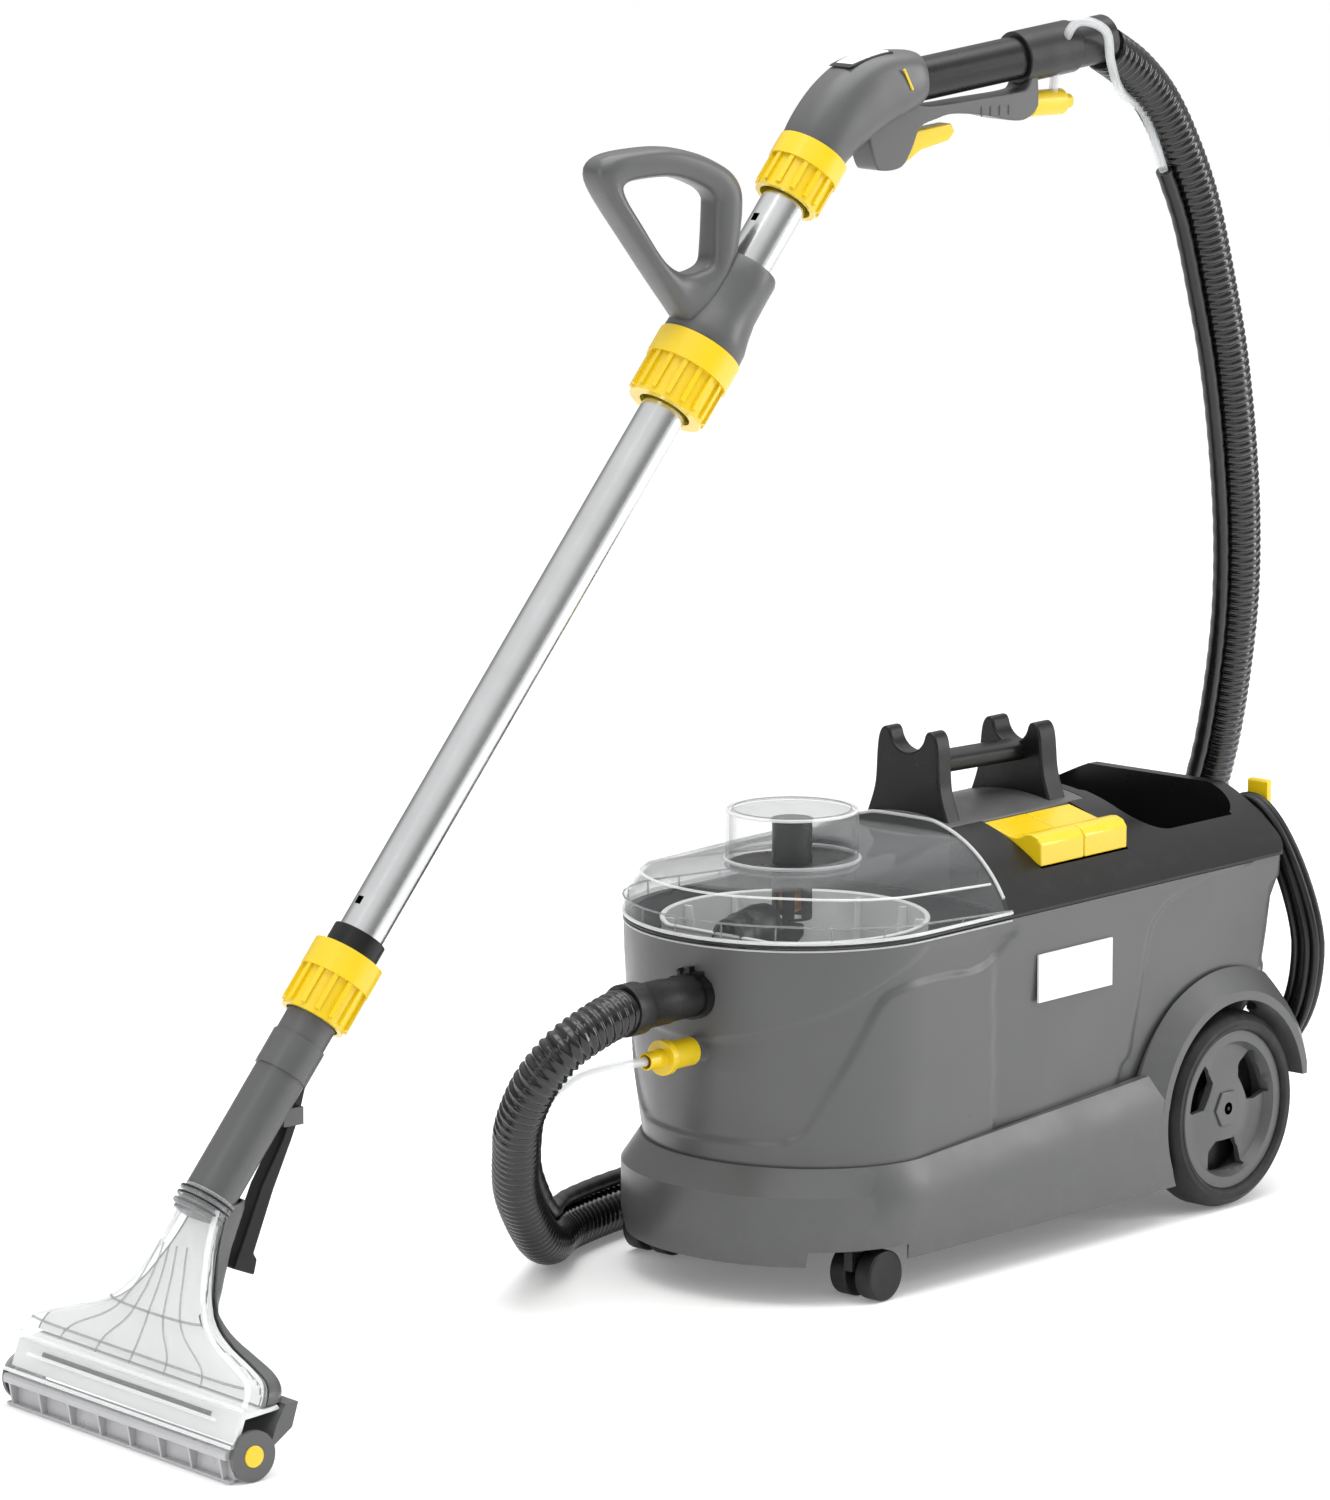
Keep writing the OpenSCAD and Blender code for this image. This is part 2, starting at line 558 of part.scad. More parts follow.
// Sections of the suction fan: height, middle and half depth along the wand's heading, half width
// and squareness. The fan narrows upwards to the round neck.
fan_sections = [[56, 22, 15, 152, 0.3], [72, 30, 14, 144, 0.4], [86, 37, 13.5, 95, 0.6], [102, 45, 14, 60, 0.8],
    [131, 61, 17, 38, 0.9], [146, 69, 20, 29, 1], [178, 87, 26.8, 21, 1]];
function fan_ring(f, g) = [for (a = [0:10:350])
    [f[1] + (f[2] + g) * sign(cos(a)) * pow(abs(cos(a)), f[4]),
     (f[3] + g) * sign(sin(a)) * pow(abs(sin(a)), f[4]), f[0]]];
module fan_shell() difference() {
    skin([for (f = fan_sections) fan_ring(f, 0)]);
    skin([for (f = fan_sections) [for (p = fan_ring(f, -2.6)) p + [0, 0, (f[0] - 117) * 0.02]]]);
}
// Everything behind the joint between the clear cover and the grey back.
module behind(gap = 0) translate([28 + gap, -200, 50]) rotate([0, 27, 0]) cube([200, 400, 300]);

module nozzle_back() color(grey) {
    wand() {
        intersection() {
            fan_shell();
            behind();
        }
        difference() {
            union() {
                along_w(-half, half) polygon([[32, 22], [54, 37], [60, 56], [48, 56], [46, 52], [40, 42]]);
                both_sides() translate([18, half - 4, 20]) rod_y(20, 0, 4);
            }
            both_sides() translate([18, half - 10, 20]) rod_y(8.9, 0, 20);
        }
        both_sides() translate([154.5, 7.5, 229]) cube([19, 3, 14]);
    }
    on_tube(-168) pipe(21, 17.5, 169);
    on_tube(-50) pipe(22.4, 17.5, 30);
}
module nozzle_cover() color(clear) difference() {
    wand() {
        difference() {
            fan_shell();
            behind(-0.3);
        }
        along_w(-half, half) polygon([[-4, 29], [8, 57.5], [11.5, 57.5], [-0.5, 29]]);
    }
    on_tube(-170) cylinder(r = 21.1, h = 60);
}
module lip_holder() color("lightgray") wand() difference() {
    union() {
        along_w(-half + 6, half - 6) polygon([[-4, 26], [-3, 14], [0, 2], [4, 0.2], [8, 0.2], [9, 6], [12, 26]]);
        along_w(-half + 6, half - 6) polygon([[16, 16], [24, 0.2], [30, 0.2], [32, 8], [24, 20]]);
        both_sides() translate([18, half - 8, 20]) rod_y(13.5, 0, 3.6);
        translate([18, 0, 20]) both_sides() rod_y(6, half - 30, half - 5);
    }
    for (i = [0:6]) translate([-10, -half + 20 + i * 39, 4]) cube([10, 34, 12]);
}
module end_button(s) color(yellow) wand() translate([18, s * half, 20]) scale([1, s, 1]) rod_y(8.6, -2, 1.2);
module end_button_near() end_button(-1);
module end_button_far() end_button(1);
module spray_lance() color(black) wand() {
    translate([168, 0, 236]) rotate([0, 22, 0]) {
        translate([-4, -7, -128]) cube([9, 14, 132]);
        translate([-6, -9, -140]) cube([16, 18, 14]);
    }
}

// ---------- tube, nuts and grip ----------
module ribbed_nut(r0, r1, h, bore, ribs) difference() {
    union() {
        cylinder(r = r0, h = h * 0.62);
        translate([0, 0, h * 0.6]) cylinder(r = r1, h = h * 0.4);
        for (i = [0:ribs - 1]) rotate([0, 0, i * 360 / ribs]) translate([r0 - 2, -2, 4]) cube([4.5, 4, h * 0.6]);
    }
    translate([0, 0, -1]) cylinder(r = bore, h = h + 2);
}
module lower_nut() color(yellow) on_tube() ribbed_nut(27, 30, 59, 22.8, 14);
module upper_nut() color(yellow) on_tube(tube_len) ribbed_nut(27, 30.5, 49, 22.8, 14);
module lower_collar() color(black) on_tube() {
    translate([0, 0, 2]) pipe(22.4, tube_d / 2 + 0.05, 75);
}
module wand_tube() color(steel) on_tube() difference() {
    translate([0, 0, 4]) pipe(tube_d / 2, tube_d / 2 - 1.2, tube_len + 37);
    for (s = [96, 745]) translate([-tube_d, -3.5, s]) cube([tube_d, 7, 7]);
}
grip_s = 573.5;
module grip_collet() color(black) on_tube(grip_s + 4) {
    pipe(22.2, tube_d / 2 + fit, 80);
}
module grip_nut() color(yellow) on_tube(grip_s) ribbed_nut(32, 36, 59, 22.6, 16);
module grip_handle() color(grey) on_tube(grip_s + 59.6) {
    difference() {
        union() {
            cylinder(r = 28, h = 78);
            translate([0, 15, 0]) rotate([90, 0, 0]) linear_extrude(30) polygon([
                [-20, 2], [-46, 10], [-176, 40], [-182, 52], [-172, 69], [-138, 100], [-114, 113], [-90, 122],
                [-66, 127], [-48, 121], [-32, 98], [-20, 78]]);
        }
        translate([0, 18, 0]) rotate([90, 0, 0]) linear_extrude(36) polygon([
            [-38, 62], [-56, 32], [-80, 28], [-144, 46], [-150, 54], [-144, 63], [-114, 88],
            [-80, 100], [-66, 98], [-56, 90]]);
        translate([0, 0, -1]) cylinder(r = 22.5, h = 100);
    }
}

// ---------- handle ----------
head_lift = 6.4;
module on_handle() wand() translate([800, 0, 1005.3]) rotate([0, -head_lift, 0]) children();
module handle_body() color(grey) {
    difference() {
        wand() along_w(-24, 24) polygon([[704, 958], [693, 1004], [704, 1019], [726, 1029], [762, 1035],
            [802, 1031], [812, 985], [832, 985], [915, 990], [934, 992], [934, 975], [914, 968], [875, 975],
            [842, 978], [806, 970], [786, 938], [754, 938], [744, 944]]);
        on_handle() rod_x(18.3, 2, 140);
        on_tube(760) cylinder(r = tube_d / 2 + 0.2, h = 70);
        wand() {
            along_w(-8.5, 8.5) polygon([[806, 972.5], [800, 979], [812, 986], [880, 986], [880, 979], [842, 974],
                [786, 937], [770, 930], [770, 950]]);
            translate([0, 0, 981.5]) rod_x(4.8, 806, 890);
            translate([0, 0, 980]) rod_x(7.9, 880, 950);
        }
    }
    on_tube(779) pipe(22.4, tube_d / 2 + 0.1, 50);
}
module handle_tube() color(black) on_handle() {
    translate([2.5, 0, 0]) rotate([0, 90, 0]) pipe(18, 15.5, 118);
}
module trigger() color(yellow) wand() along_w(-8, 8)
    polygon([[788, 948], [806, 966], [844, 970], [848, 963], [842, 956], [812, 950], [794, 940]]);
module spray_valve() color("dimgray") wand() translate([830, 0, 981.5]) rod_x(4.5, -12, 40);
module hose_coupling() color(yellow) wand() translate([0, 0, 980]) difference() {
    union() {
        rod_x(7.6, 905, 952);
        rod_x(11, 935.5, 972);
        rod_x(6, 972, 982);
    }
    rod_x(3, 900, 990);
}
module wand_cuff() color(black) on_handle() rotate([0, 90, 0]) difference() {
    union() {
        translate([0, 0, 121]) cylinder(r = 22, h = 60);
        translate([0, 0, 180]) cylinder(r = 20, h = 42);
    }
    translate([0, 0, 100]) cylinder(r = 15.5, h = 200);
}

tank_body();
chassis();
rear_cover();
deck_panel();
carry_handle();
badge_plate();
suction_motor();
fan_impeller();
spray_pump();
suction_port();
spray_socket();
rear_axle();
tyre_near();
tyre_far();
rim_near();
rim_far();
castor_fork_near();
castor_fork_far();
castor_wheels_near();
castor_wheels_far();
dirty_tank();
inlet_elbow();
fluff_filter();
lid_shell();
lid_dome();
lid_gasket();
float_cage();
float_ball();
switch_spray();
switch_suction();
cord_hook();
cord_gland();
mains_lead();
mains_hank();
mains_plug();
machine_cuff();
coupling_sleeve();
suction_hose();
hose_sleeve();
spray_hose_machine();
spray_hose_wand();
wand_cuff();
nozzle_back();
nozzle_cover();
lip_holder();
end_button_near();
end_button_far();
spray_lance();
lower_nut();
lower_collar();
wand_tube();
grip_collet();
grip_handle();
grip_nut();
upper_nut();
handle_body();
handle_tube();
trigger();
spray_valve();
hose_coupling();
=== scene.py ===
# Spot extractor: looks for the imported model. Lengths in the helpers are millimetres in the machine's own
# frame (X from the nose centre to the rear, Z up from the floor) and become metres in the row's frame.
import json
import math
import bmesh
import bpy
from mathutils import Matrix, Vector


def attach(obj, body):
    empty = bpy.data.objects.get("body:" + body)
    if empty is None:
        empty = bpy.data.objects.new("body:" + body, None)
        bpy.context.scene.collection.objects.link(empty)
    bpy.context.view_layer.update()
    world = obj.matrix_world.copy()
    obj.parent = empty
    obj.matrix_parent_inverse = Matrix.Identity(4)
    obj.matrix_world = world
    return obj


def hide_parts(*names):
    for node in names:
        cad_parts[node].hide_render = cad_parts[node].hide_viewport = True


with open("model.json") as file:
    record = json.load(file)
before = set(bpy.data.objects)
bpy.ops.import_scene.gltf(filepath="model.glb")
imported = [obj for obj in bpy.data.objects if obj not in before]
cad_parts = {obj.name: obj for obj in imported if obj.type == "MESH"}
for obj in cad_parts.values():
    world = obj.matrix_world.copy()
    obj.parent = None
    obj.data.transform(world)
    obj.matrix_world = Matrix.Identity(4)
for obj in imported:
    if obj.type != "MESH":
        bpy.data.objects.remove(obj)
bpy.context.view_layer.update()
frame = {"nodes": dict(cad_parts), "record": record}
NODES = frame["nodes"]

# The middle of the row, the wand's heading and its lean from upright.
CENTRE = Vector((-135.9, 10.4, 0))
YAW = math.radians(-8.89)
LEAN = math.radians(38.4)
# Where the wand's own frame starts, and the foot of its steel tube along the heading and above the floor.
WAND_X, WAND_Y = -771, 25
TUBE_FOOT, TUBE_FOOT_Z = 190, 308.2


def at(x, y, z):
    """Machine millimetres to metres in the row's frame."""
    return (Vector((x, y, z)) - CENTRE) / 1000


def wand_at(u, w, z):
    """Wand millimetres: u along its heading, w across, z up."""
    c, s = math.cos(YAW), math.sin(YAW)
    return at(WAND_X + u * c - w * s, WAND_Y + u * s + w * c, z)


def tube_at(x, y, s):
    """Steel tube millimetres: s up the tube from the underside of the lower nut."""
    c, d = math.cos(LEAN), math.sin(LEAN)
    return wand_at(TUBE_FOOT + x * c + s * d, y, TUBE_FOOT_Z - x * d + s * c)


# ---------- camera ----------
camera = bpy.data.objects.new("camera", bpy.data.cameras.new("camera"))
bpy.context.collection.objects.link(camera)
camera.data.sensor_fit = "VERTICAL"
camera.data.sensor_height = 36
camera.data.lens = 174.56
camera.data.clip_end = 50
right = Vector((0.66535, -0.74654, 0))
up = Vector((0.13298, 0.11852, 0.98401))
back = Vector((-0.7346, -0.65471, 0.17812))
turn = Matrix((right, up, back)).transposed().to_4x4()
EYE = (-4541.3, -3901.2, 1526.2)
camera.matrix_world = Matrix.Translation(at(*EYE)) @ turn
bpy.context.scene.camera = camera


# ---------- materials ----------
def material(name):
    """A new material with its nodes, links and main shader."""
    m = bpy.data.materials.new(name)
    m.use_nodes = True
    nodes = m.node_tree.nodes
    return m, nodes, m.node_tree.links, nodes["Principled BSDF"]


def noise(nodes, links, scale, detail=4, rough=0.55, stretch=None):
    """Noise in the piece's own space; stretch scales each axis."""
    tex = nodes.new("ShaderNodeTexNoise")
    tex.inputs["Scale"].default_value = scale
    tex.inputs["Detail"].default_value = detail
    tex.inputs["Roughness"].default_value = rough
    place = nodes.new("ShaderNodeTexCoord")
    if stretch:
        m = nodes.new("ShaderNodeMapping")
        m.inputs["Scale"].default_value = stretch
        links.new(place.outputs["Object"], m.inputs["Vector"])
        links.new(m.outputs["Vector"], tex.inputs["Vector"])
    else:
        links.new(place.outputs["Object"], tex.inputs["Vector"])
    return tex.outputs["Fac"]


def ramp(nodes, links, source, stops):
    """A colour ramp with (position, colour) stops."""
    r = nodes.new("ShaderNodeValToRGB")
    r.color_ramp.elements[0].position, r.color_ramp.elements[0].color = stops[0]
    r.color_ramp.elements[1].position, r.color_ramp.elements[1].color = stops[-1]
    for position, color in stops[1:-1]:
        r.color_ramp.elements.new(position).color = color
    links.new(source, r.inputs["Fac"])
    return r.outputs["Color"]


def grey(value):
    return (value, value, value, 1)


def shade(color, k):
    """The colour k times as bright, with alpha."""
    return tuple(min(1, c * k) for c in color[:3]) + (1,)


def moulded(name, color, rough=0.45, grain=2600, depth=0.12, wear=0.25, spread=0.04, coat=0, gloss_level=0.5):
    """Moulded plastic or rubber: slight blotches, fine grain, uneven gloss and edges rubbed lighter."""
    m, nodes, links, bsdf = material(name)
    blotch = noise(nodes, links, 9, 5)
    base = ramp(nodes, links, blotch, [(0.3, shade(color, 1 - spread)), (0.7, shade(color, 1 + spread))])
    geometry = nodes.new("ShaderNodeNewGeometry")
    edge = ramp(nodes, links, geometry.outputs["Pointiness"], [(0.51, grey(0)), (0.56, grey(1))])
    scratch = ramp(nodes, links, noise(nodes, links, 60, 6), [(0.45, grey(0)), (0.7, grey(1))])
    both = nodes.new("ShaderNodeMix")
    both.data_type = "RGBA"
    both.blend_type = "MULTIPLY"
    both.inputs[0].default_value = 1
    links.new(edge, both.inputs[6])
    links.new(scratch, both.inputs[7])
    worn = nodes.new("ShaderNodeMix")
    worn.data_type = "RGBA"
    amount = nodes.new("ShaderNodeMath")
    amount.operation = "MULTIPLY"
    amount.inputs[1].default_value = wear
    links.new(both.outputs[2], amount.inputs[0])
    links.new(amount.outputs[0], worn.inputs[0])
    links.new(base, worn.inputs[6])
    worn.inputs[7].default_value = shade(tuple(c + 0.08 for c in color), 1.3)
    links.new(worn.outputs[2], bsdf.inputs["Base Color"])
    gloss = ramp(nodes, links, noise(nodes, links, 22, 4),
                 [(0.25, grey(rough - 0.07)), (0.75, grey(rough + 0.09))])
    links.new(gloss, bsdf.inputs["Roughness"])
    bump = nodes.new("ShaderNodeBump")
    bump.inputs["Strength"].default_value = depth
    bump.inputs["Distance"].default_value = 0.0004
    links.new(noise(nodes, links, grain, 2), bump.inputs["Height"])
    links.new(bump.outputs["Normal"], bsdf.inputs["Normal"])
    bsdf.inputs["Specular IOR Level"].default_value = gloss_level
    bsdf.inputs["Coat Weight"].default_value = coat
    bsdf.inputs["Coat Roughness"].default_value = 0.15
    return m


def clear(name, tint=(0.95, 0.97, 0.97), haze=0.05, rough=0.02):
    """Clear moulded plastic: see-through, glossy, with faint smudges and a slight unevenness; towards grazing
    angles it turns opaque in its tint, a painted reflection along its edges.
    """
    m, nodes, links, bsdf = material(name)
    bsdf.inputs["IOR"].default_value = 1.45
    bsdf.inputs["Specular IOR Level"].default_value = 0.6
    tone = ramp(nodes, links, noise(nodes, links, 6, 4), [(0.3, shade(tint, 0.97)), (0.7, shade(tint, 1.02))])
    links.new(tone, bsdf.inputs["Base Color"])
    gloss = ramp(nodes, links, noise(nodes, links, 18, 5), [(0.35, grey(rough)), (0.85, grey(rough + 0.1))])
    links.new(gloss, bsdf.inputs["Roughness"])
    # Painted reflection: the alpha rises towards grazing angles, so the tint shows as a rim along edges and
    # outlines where real clear plastic reflects and refracts its surroundings.
    facing = nodes.new("ShaderNodeLayerWeight")
    facing.inputs["Blend"].default_value = 0.5
    haze_and_painted_edge_sheen = ramp(nodes, links, facing.outputs["Facing"], [(0.0, grey(haze)), (0.5, grey(haze + 0.05)),
                                                          (0.85, grey(haze + 0.3)), (1.0, grey(haze + 0.7))])
    links.new(haze_and_painted_edge_sheen, bsdf.inputs["Alpha"])
    bump = nodes.new("ShaderNodeBump")
    bump.inputs["Strength"].default_value = 0.06
    bump.inputs["Distance"].default_value = 0.001
    links.new(noise(nodes, links, 40, 3), bump.inputs["Height"])
    links.new(bump.outputs["Normal"], bsdf.inputs["Normal"])
    return m


def metal(name, color, rough, stretch=None, depth=0.04):
    """Bare metal with uneven tone and fine streaks in its gloss."""
    m, nodes, links, bsdf = material(name)
    bsdf.inputs["Metallic"].default_value = 1
    tone = ramp(nodes, links, noise(nodes, links, 14, 5), [(0.3, shade(color, 0.93)),
                                                           (0.7, shade(color, 1.05))])
    links.new(tone, bsdf.inputs["Base Color"])
    streak = noise(nodes, links, 500, 3, stretch=stretch)
    gloss = ramp(nodes, links, streak, [(0.3, grey(rough)), (0.7, grey(rough + 0.1))])
    links.new(gloss, bsdf.inputs["Roughness"])
    bump = nodes.new("ShaderNodeBump")
    bump.inputs["Strength"].default_value = depth
    bump.inputs["Distance"].default_value = 0.0003
    links.new(streak, bump.inputs["Height"])
    links.new(bump.outputs["Normal"], bsdf.inputs["Normal"])
    return m


MATS = {
    "body_plastic": moulded("body_grey", (0.083, 0.084, 0.0855), 0.34, wear=0.05, spread=0.015),
    "black_plastic": moulded("satin_black", (0.006, 0.006, 0.0062), 0.3, wear=0.05, gloss_level=0.3),
    "yellow_plastic": moulded("yellow", (0.76, 0.53, 0.003), 0.3, 1200, 0.05, 0.05, 0.02, 0.25),
    # Painted shade: the grey tint of the clear plastic shows most at grazing angles, standing in for the dark
    # refraction seen along the clear edges.
    "clear_plastic": clear("clear_plastic", tint=(0.3, 0.31, 0.315), haze=0.07),
    "clear_light": clear("clear_light", tint=(0.86, 0.88, 0.89), haze=0.1),
    "white_plastic": moulded("milky_white", (0.74, 0.75, 0.74), 0.4, depth=0.05, wear=0.05, spread=0.03),
    "badge": moulded("badge_white", (0.8, 0.8, 0.8), 0.3, depth=0.03, wear=0.05, spread=0.02),
    # Two dense copies of the clear plastic: the grey one paints dark lines along clear edges and fins, the
    # white one paints highlights along edges and rims.
    "clear_painted_dark_line": clear("clear_painted_dark_line", tint=(0.3, 0.31, 0.315), haze=0.42, rough=0.03),
    "clear_painted_highlight": clear("clear_painted_highlight", tint=(0.97, 0.98, 0.98), haze=0.4, rough=0.03),
    "motor_metal": metal("cast_metal", (0.42, 0.42, 0.43), 0.35),
    "steel": metal("drawn_steel", (0.55, 0.56, 0.57), 0.25),
    "tube_steel": metal("polished_tube", (0.6, 0.605, 0.61), 0.14, depth=0.01),
    "tyre": moulded("tyre_rubber", (0.006, 0.006, 0.006), 0.5, 900, 0.3, 0.15, gloss_level=0.35),
    "seal_rubber": moulded("soft_black", (0.008, 0.008, 0.0085), 0.36, 900, 0.1, 0.15, gloss_level=0.4),
    "float_plastic": moulded("float_orange", (0.6, 0.2, 0.03), 0.35),
    "cord_rubber": moulded("cable_jacket", (0.007, 0.007, 0.0075), 0.33, 1500, 0.08, 0.05, gloss_level=0.4),
    "hose_plastic": moulded("hose_black", (0.004, 0.004, 0.0045), 0.2, 400, 0.08, 0.1, coat=0.35,
                            gloss_level=0.4),
    "sleeve_fabric": moulded("sleeve_black", (0.005, 0.005, 0.0055), 0.3, 700, 0.2, 0.1, gloss_level=0.4),
    "clear_hose": clear("clear_hose", tint=(0.82, 0.84, 0.85), haze=0.3, rough=0.05),
    "lip_plastic": moulded("lip_grey", (0.42, 0.42, 0.43), 0.3, depth=0.05, wear=0.1),
}


# ---------- mesh helpers ----------
def piece(name, verts, faces, body, slot, smooth=40, bevel=0, segments=2, finish=None):
    """A new mesh that rides a body; finish names its material where that isn't the slot's own."""
    mesh = bpy.data.meshes.new(name)
    mesh.from_pydata([tuple(v) for v in verts], [], faces)
    bm = bmesh.new()
    bm.from_mesh(mesh)
    bmesh.ops.remove_doubles(bm, verts=bm.verts, dist=1e-6)
    bmesh.ops.recalc_face_normals(bm, faces=bm.faces)
    bm.to_mesh(mesh)
    bm.free()
    obj = bpy.data.objects.new(name, mesh)
    bpy.context.collection.objects.link(obj)
    finish_piece(obj, MATS[finish or slot], smooth, bevel, segments)
    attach(obj, body)
    return obj


def finish_piece(obj, mat, smooth=40, bevel=0, segments=2):
    """Gives a piece its material and its soft edges."""
    obj.data.materials.clear()
    obj.data.materials.append(mat)
    soften(obj, smooth, bevel, segments)


def soften(obj, smooth, bevel, segments=2):
    """Rounds the sharp edges and shades the rest smooth."""
    obj.data.shade_smooth()
    if bevel:
        b = obj.modifiers.new("bevel", "BEVEL")
        b.width = bevel / 1000
        b.segments = segments
        b.limit_method = "ANGLE"
        b.angle_limit = math.radians(smooth)
        b.use_clamp_overlap = True
        b.harden_normals = False
    obj.data.set_sharp_from_angle(angle=math.radians(smooth))


def loft(name, rings, body, slot, caps=True, closed=True, **look):
    """A skin through rings of points."""
    n = len(rings[0])
    verts = [p for r in rings for p in r]
    faces = []
    for i in range(len(rings) - 1):
        for j in range(n if closed else n - 1):
            k = (j + 1) % n
            faces.append((i * n + j, i * n + k, (i + 1) * n + k, (i + 1) * n + j))
    if caps:
        faces.append(tuple(range(n - 1, -1, -1)))
        faces.append(tuple(range((len(rings) - 1) * n, len(rings) * n)))
    return piece(name, verts, faces, body, slot, **look)


def lathe(name, profile, place, body, slot, steps=64, **look):
    """A profile of (radius, height) turned about the local third axis of place(x, y, z)."""
    rings = [[place(r * math.cos(a), r * math.sin(a), h) for a in
              [2 * math.pi * k / steps for k in range(steps)]] for r, h in profile]
    return loft(name, rings, body, slot, caps=look.pop("caps", False), **look)


def prism(name, outline, place, lo, hi, body, slot, **look):
    """A flat outline of (a, b) points given thickness; place(a, t, b) puts each point."""
    rings = [[place(a, t, b) for a, b in outline] for t in (lo, hi)]
    return loft(name, rings, body, slot, **look)


def smooth_path(points, steps):
    """A Catmull-Rom curve through points."""
    out = []
    for i in range(len(points) - 1):
        a, b = points[max(i - 1, 0)], points[i]
        c, d = points[i + 1], points[min(i + 2, len(points) - 1)]
        for k in range(steps):
            t = k / steps
            out.append(0.5 * (2 * b + (c - a) * t + (2 * a - 5 * b + 4 * c - d) * t * t
                              + (3 * b - a - 3 * c + d) * t ** 3))
    return out + [points[-1]]


def even(points, gap):
    """The same path with points a fixed distance apart."""
    out, left = [points[0]], gap
    for a, b in zip(points, points[1:]):
        span = (b - a).length
        done = 0
        while span - done >= left:
            done += left
            out.append(a.lerp(b, done / span))
            left = gap
        left -= span - done
    if (out[-1] - points[-1]).length > gap * 0.3:
        out.append(points[-1])
    return out


def frames(path):
    """Tangent and two steady side directions at each point of a path."""
    out, side = [], Vector((0, 1, 0))
    for i, p in enumerate(path):
        t = (path[min(i + 1, len(path) - 1)] - path[max(i - 1, 0)]).normalized()
        side = side - t * side.dot(t)
        side = side.normalized() if side.length > 1e-4 else t.orthogonal().normalized()
        out.append((t, side, t.cross(side)))
    return out


def sweep(name, path, radius, body, slot, sides=16, caps=True, **look):
    """A tube along a path; radius(i, angle) is in millimetres."""
    rings = []
    for i, (p, (t, u, v)) in enumerate(zip(path, frames(path))):
        rings.append([p + (u * math.cos(a) + v * math.sin(a)) * radius(i, a) / 1000
                      for a in [2 * math.pi * k / sides for k in range(sides)]])
    return loft(name, rings, body, slot, caps=caps, **look)


# ---------- cords ----------
HOSE = [(-229, -11, 258), (-257, -11, 252), (-287, -3, 237), (-302, 11, 214), (-304, 25, 192),
        (-297, 43, 164), (-284, 57, 141), (-258, 81, 101), (-222, 103, 66), (-186, 122, 38),
        (-146, 146, 23), (-98, 173, 20.5), (-10, 191, 20.5), (110, 198, 20.5), (240, 200, 20.5),
        (360, 199, 20.5), (440, 192, 24), (506, 174, 42), (560, 143, 84), (594, 104, 150), (608, 66, 236),
        (605, 32, 322), (587, 0, 395), (557, -36, 493), (528, -60, 574), (493, -81, 656), (456, -98, 740),
        (420, -110, 812), (386, -119, 878), (352, -125, 928), (316, -129, 971), (277, -132, 1001),
        (238, -133, 1021)]
PORT_Y = -11
# The hose's ribs: their pitch, how many rings make up one, the radius in the grooves and the height above it.
PITCH, RINGS, GROOVE_R, RIB_HEIGHT = 7.7, 5, 17.3, 2.6
hose_line = smooth_path([at(*p) for p in HOSE], 6)
hose_path = even(hose_line, PITCH / RINGS / 1000)


def ribs(i, a):
    """Rounded helical ribs with narrow grooves between them."""
    turn = (i / RINGS + a / (2 * math.pi)) % 1
    return GROOVE_R + RIB_HEIGHT * (0.5 - 0.5 * math.cos(2 * math.pi * turn)) ** 0.6


suction_hose = sweep("suction_hose_ribbed", hose_path, ribs, "machine", "hose_plastic", sides=22, smooth=80)
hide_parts("suction_hose")


def beside(points, gap):
    """The line of the sleeve: on the inner side of the hose."""
    out = []
    for i in range(1, len(points) - 1):
        t = (points[i + 1] - points[i - 1]).normalized()
        out.append(points[i] + t.cross(Vector((0, 1, 0))).normalized() * gap / 1000)
    return out


sleeve_line = smooth_path(beside([at(*p) for p in HOSE[4:-2]], 27), 6)
sleeve = sweep("hose_sleeve_smooth", even(sleeve_line, 0.006), lambda i, a: 6.9 + 0.25 * math.sin(i * 1.9),
               "machine", "sleeve_fabric", sides=16, smooth=60)
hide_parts("hose_sleeve")

SPRAY_MACHINE = [at(-201, PORT_Y, 211), at(-232, -9, 212), at(-258, 6, 207), at(-272, 24, 190),
                 sleeve_line[0]]
SPRAY_WAND = [sleeve_line[-1], at(300, -128, 962), at(262, -132, 984), at(225, -150, 1012),
              at(204, -160, 1040), at(182, -146, 1046), at(176, -132, 1010), at(180, -124, 978)]
for name, route, node in (("spray_hose_low", SPRAY_MACHINE, "spray_hose_machine"),
                          ("spray_hose_high", SPRAY_WAND, "spray_hose_wand")):
    line = smooth_path(route, 8)
    tube = sweep(name, line, lambda i, a: 3.9, "machine", "clear_hose", sides=16, smooth=60)
    bore = sweep(name + "_bore", line[1:-1], lambda i, a: 2.3, "machine", "clear_hose", sides=12, smooth=60)
    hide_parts(node)

# Mains lead: out of its gland, wound eight turns round the hook, and down to the plug.
LEAD = [(506, 30, 190), (528, 30, 187), (547, 20, 178), (552, 0, 168), (545, -18, 162)]
HOOK_Y, HOOK_Z, HANK_Z, TURNS = -90, 312, 226, 8
HANK_X = 499 + 3.9


def hank_point(angle, column, layer, wave):
    """A point of the wound lead, by its angle round the hook, its column and its layer."""
    narrow = 1 - 0.25 * max(0, math.sin(angle))
    a, b = 52.5 + 6.6 * layer, 97.8 + 6.5 * layer
    z = HANK_Z + b * math.sin(angle)
    x = HANK_X + 3.7 * (2 * column + layer % 2) + (HOOK_Z - z) * 0.0752 + wave * math.cos(2 * angle + layer)
    return at(x, HOOK_Y + a * narrow * math.cos(angle) + wave * math.sin(3 * angle + column), z)


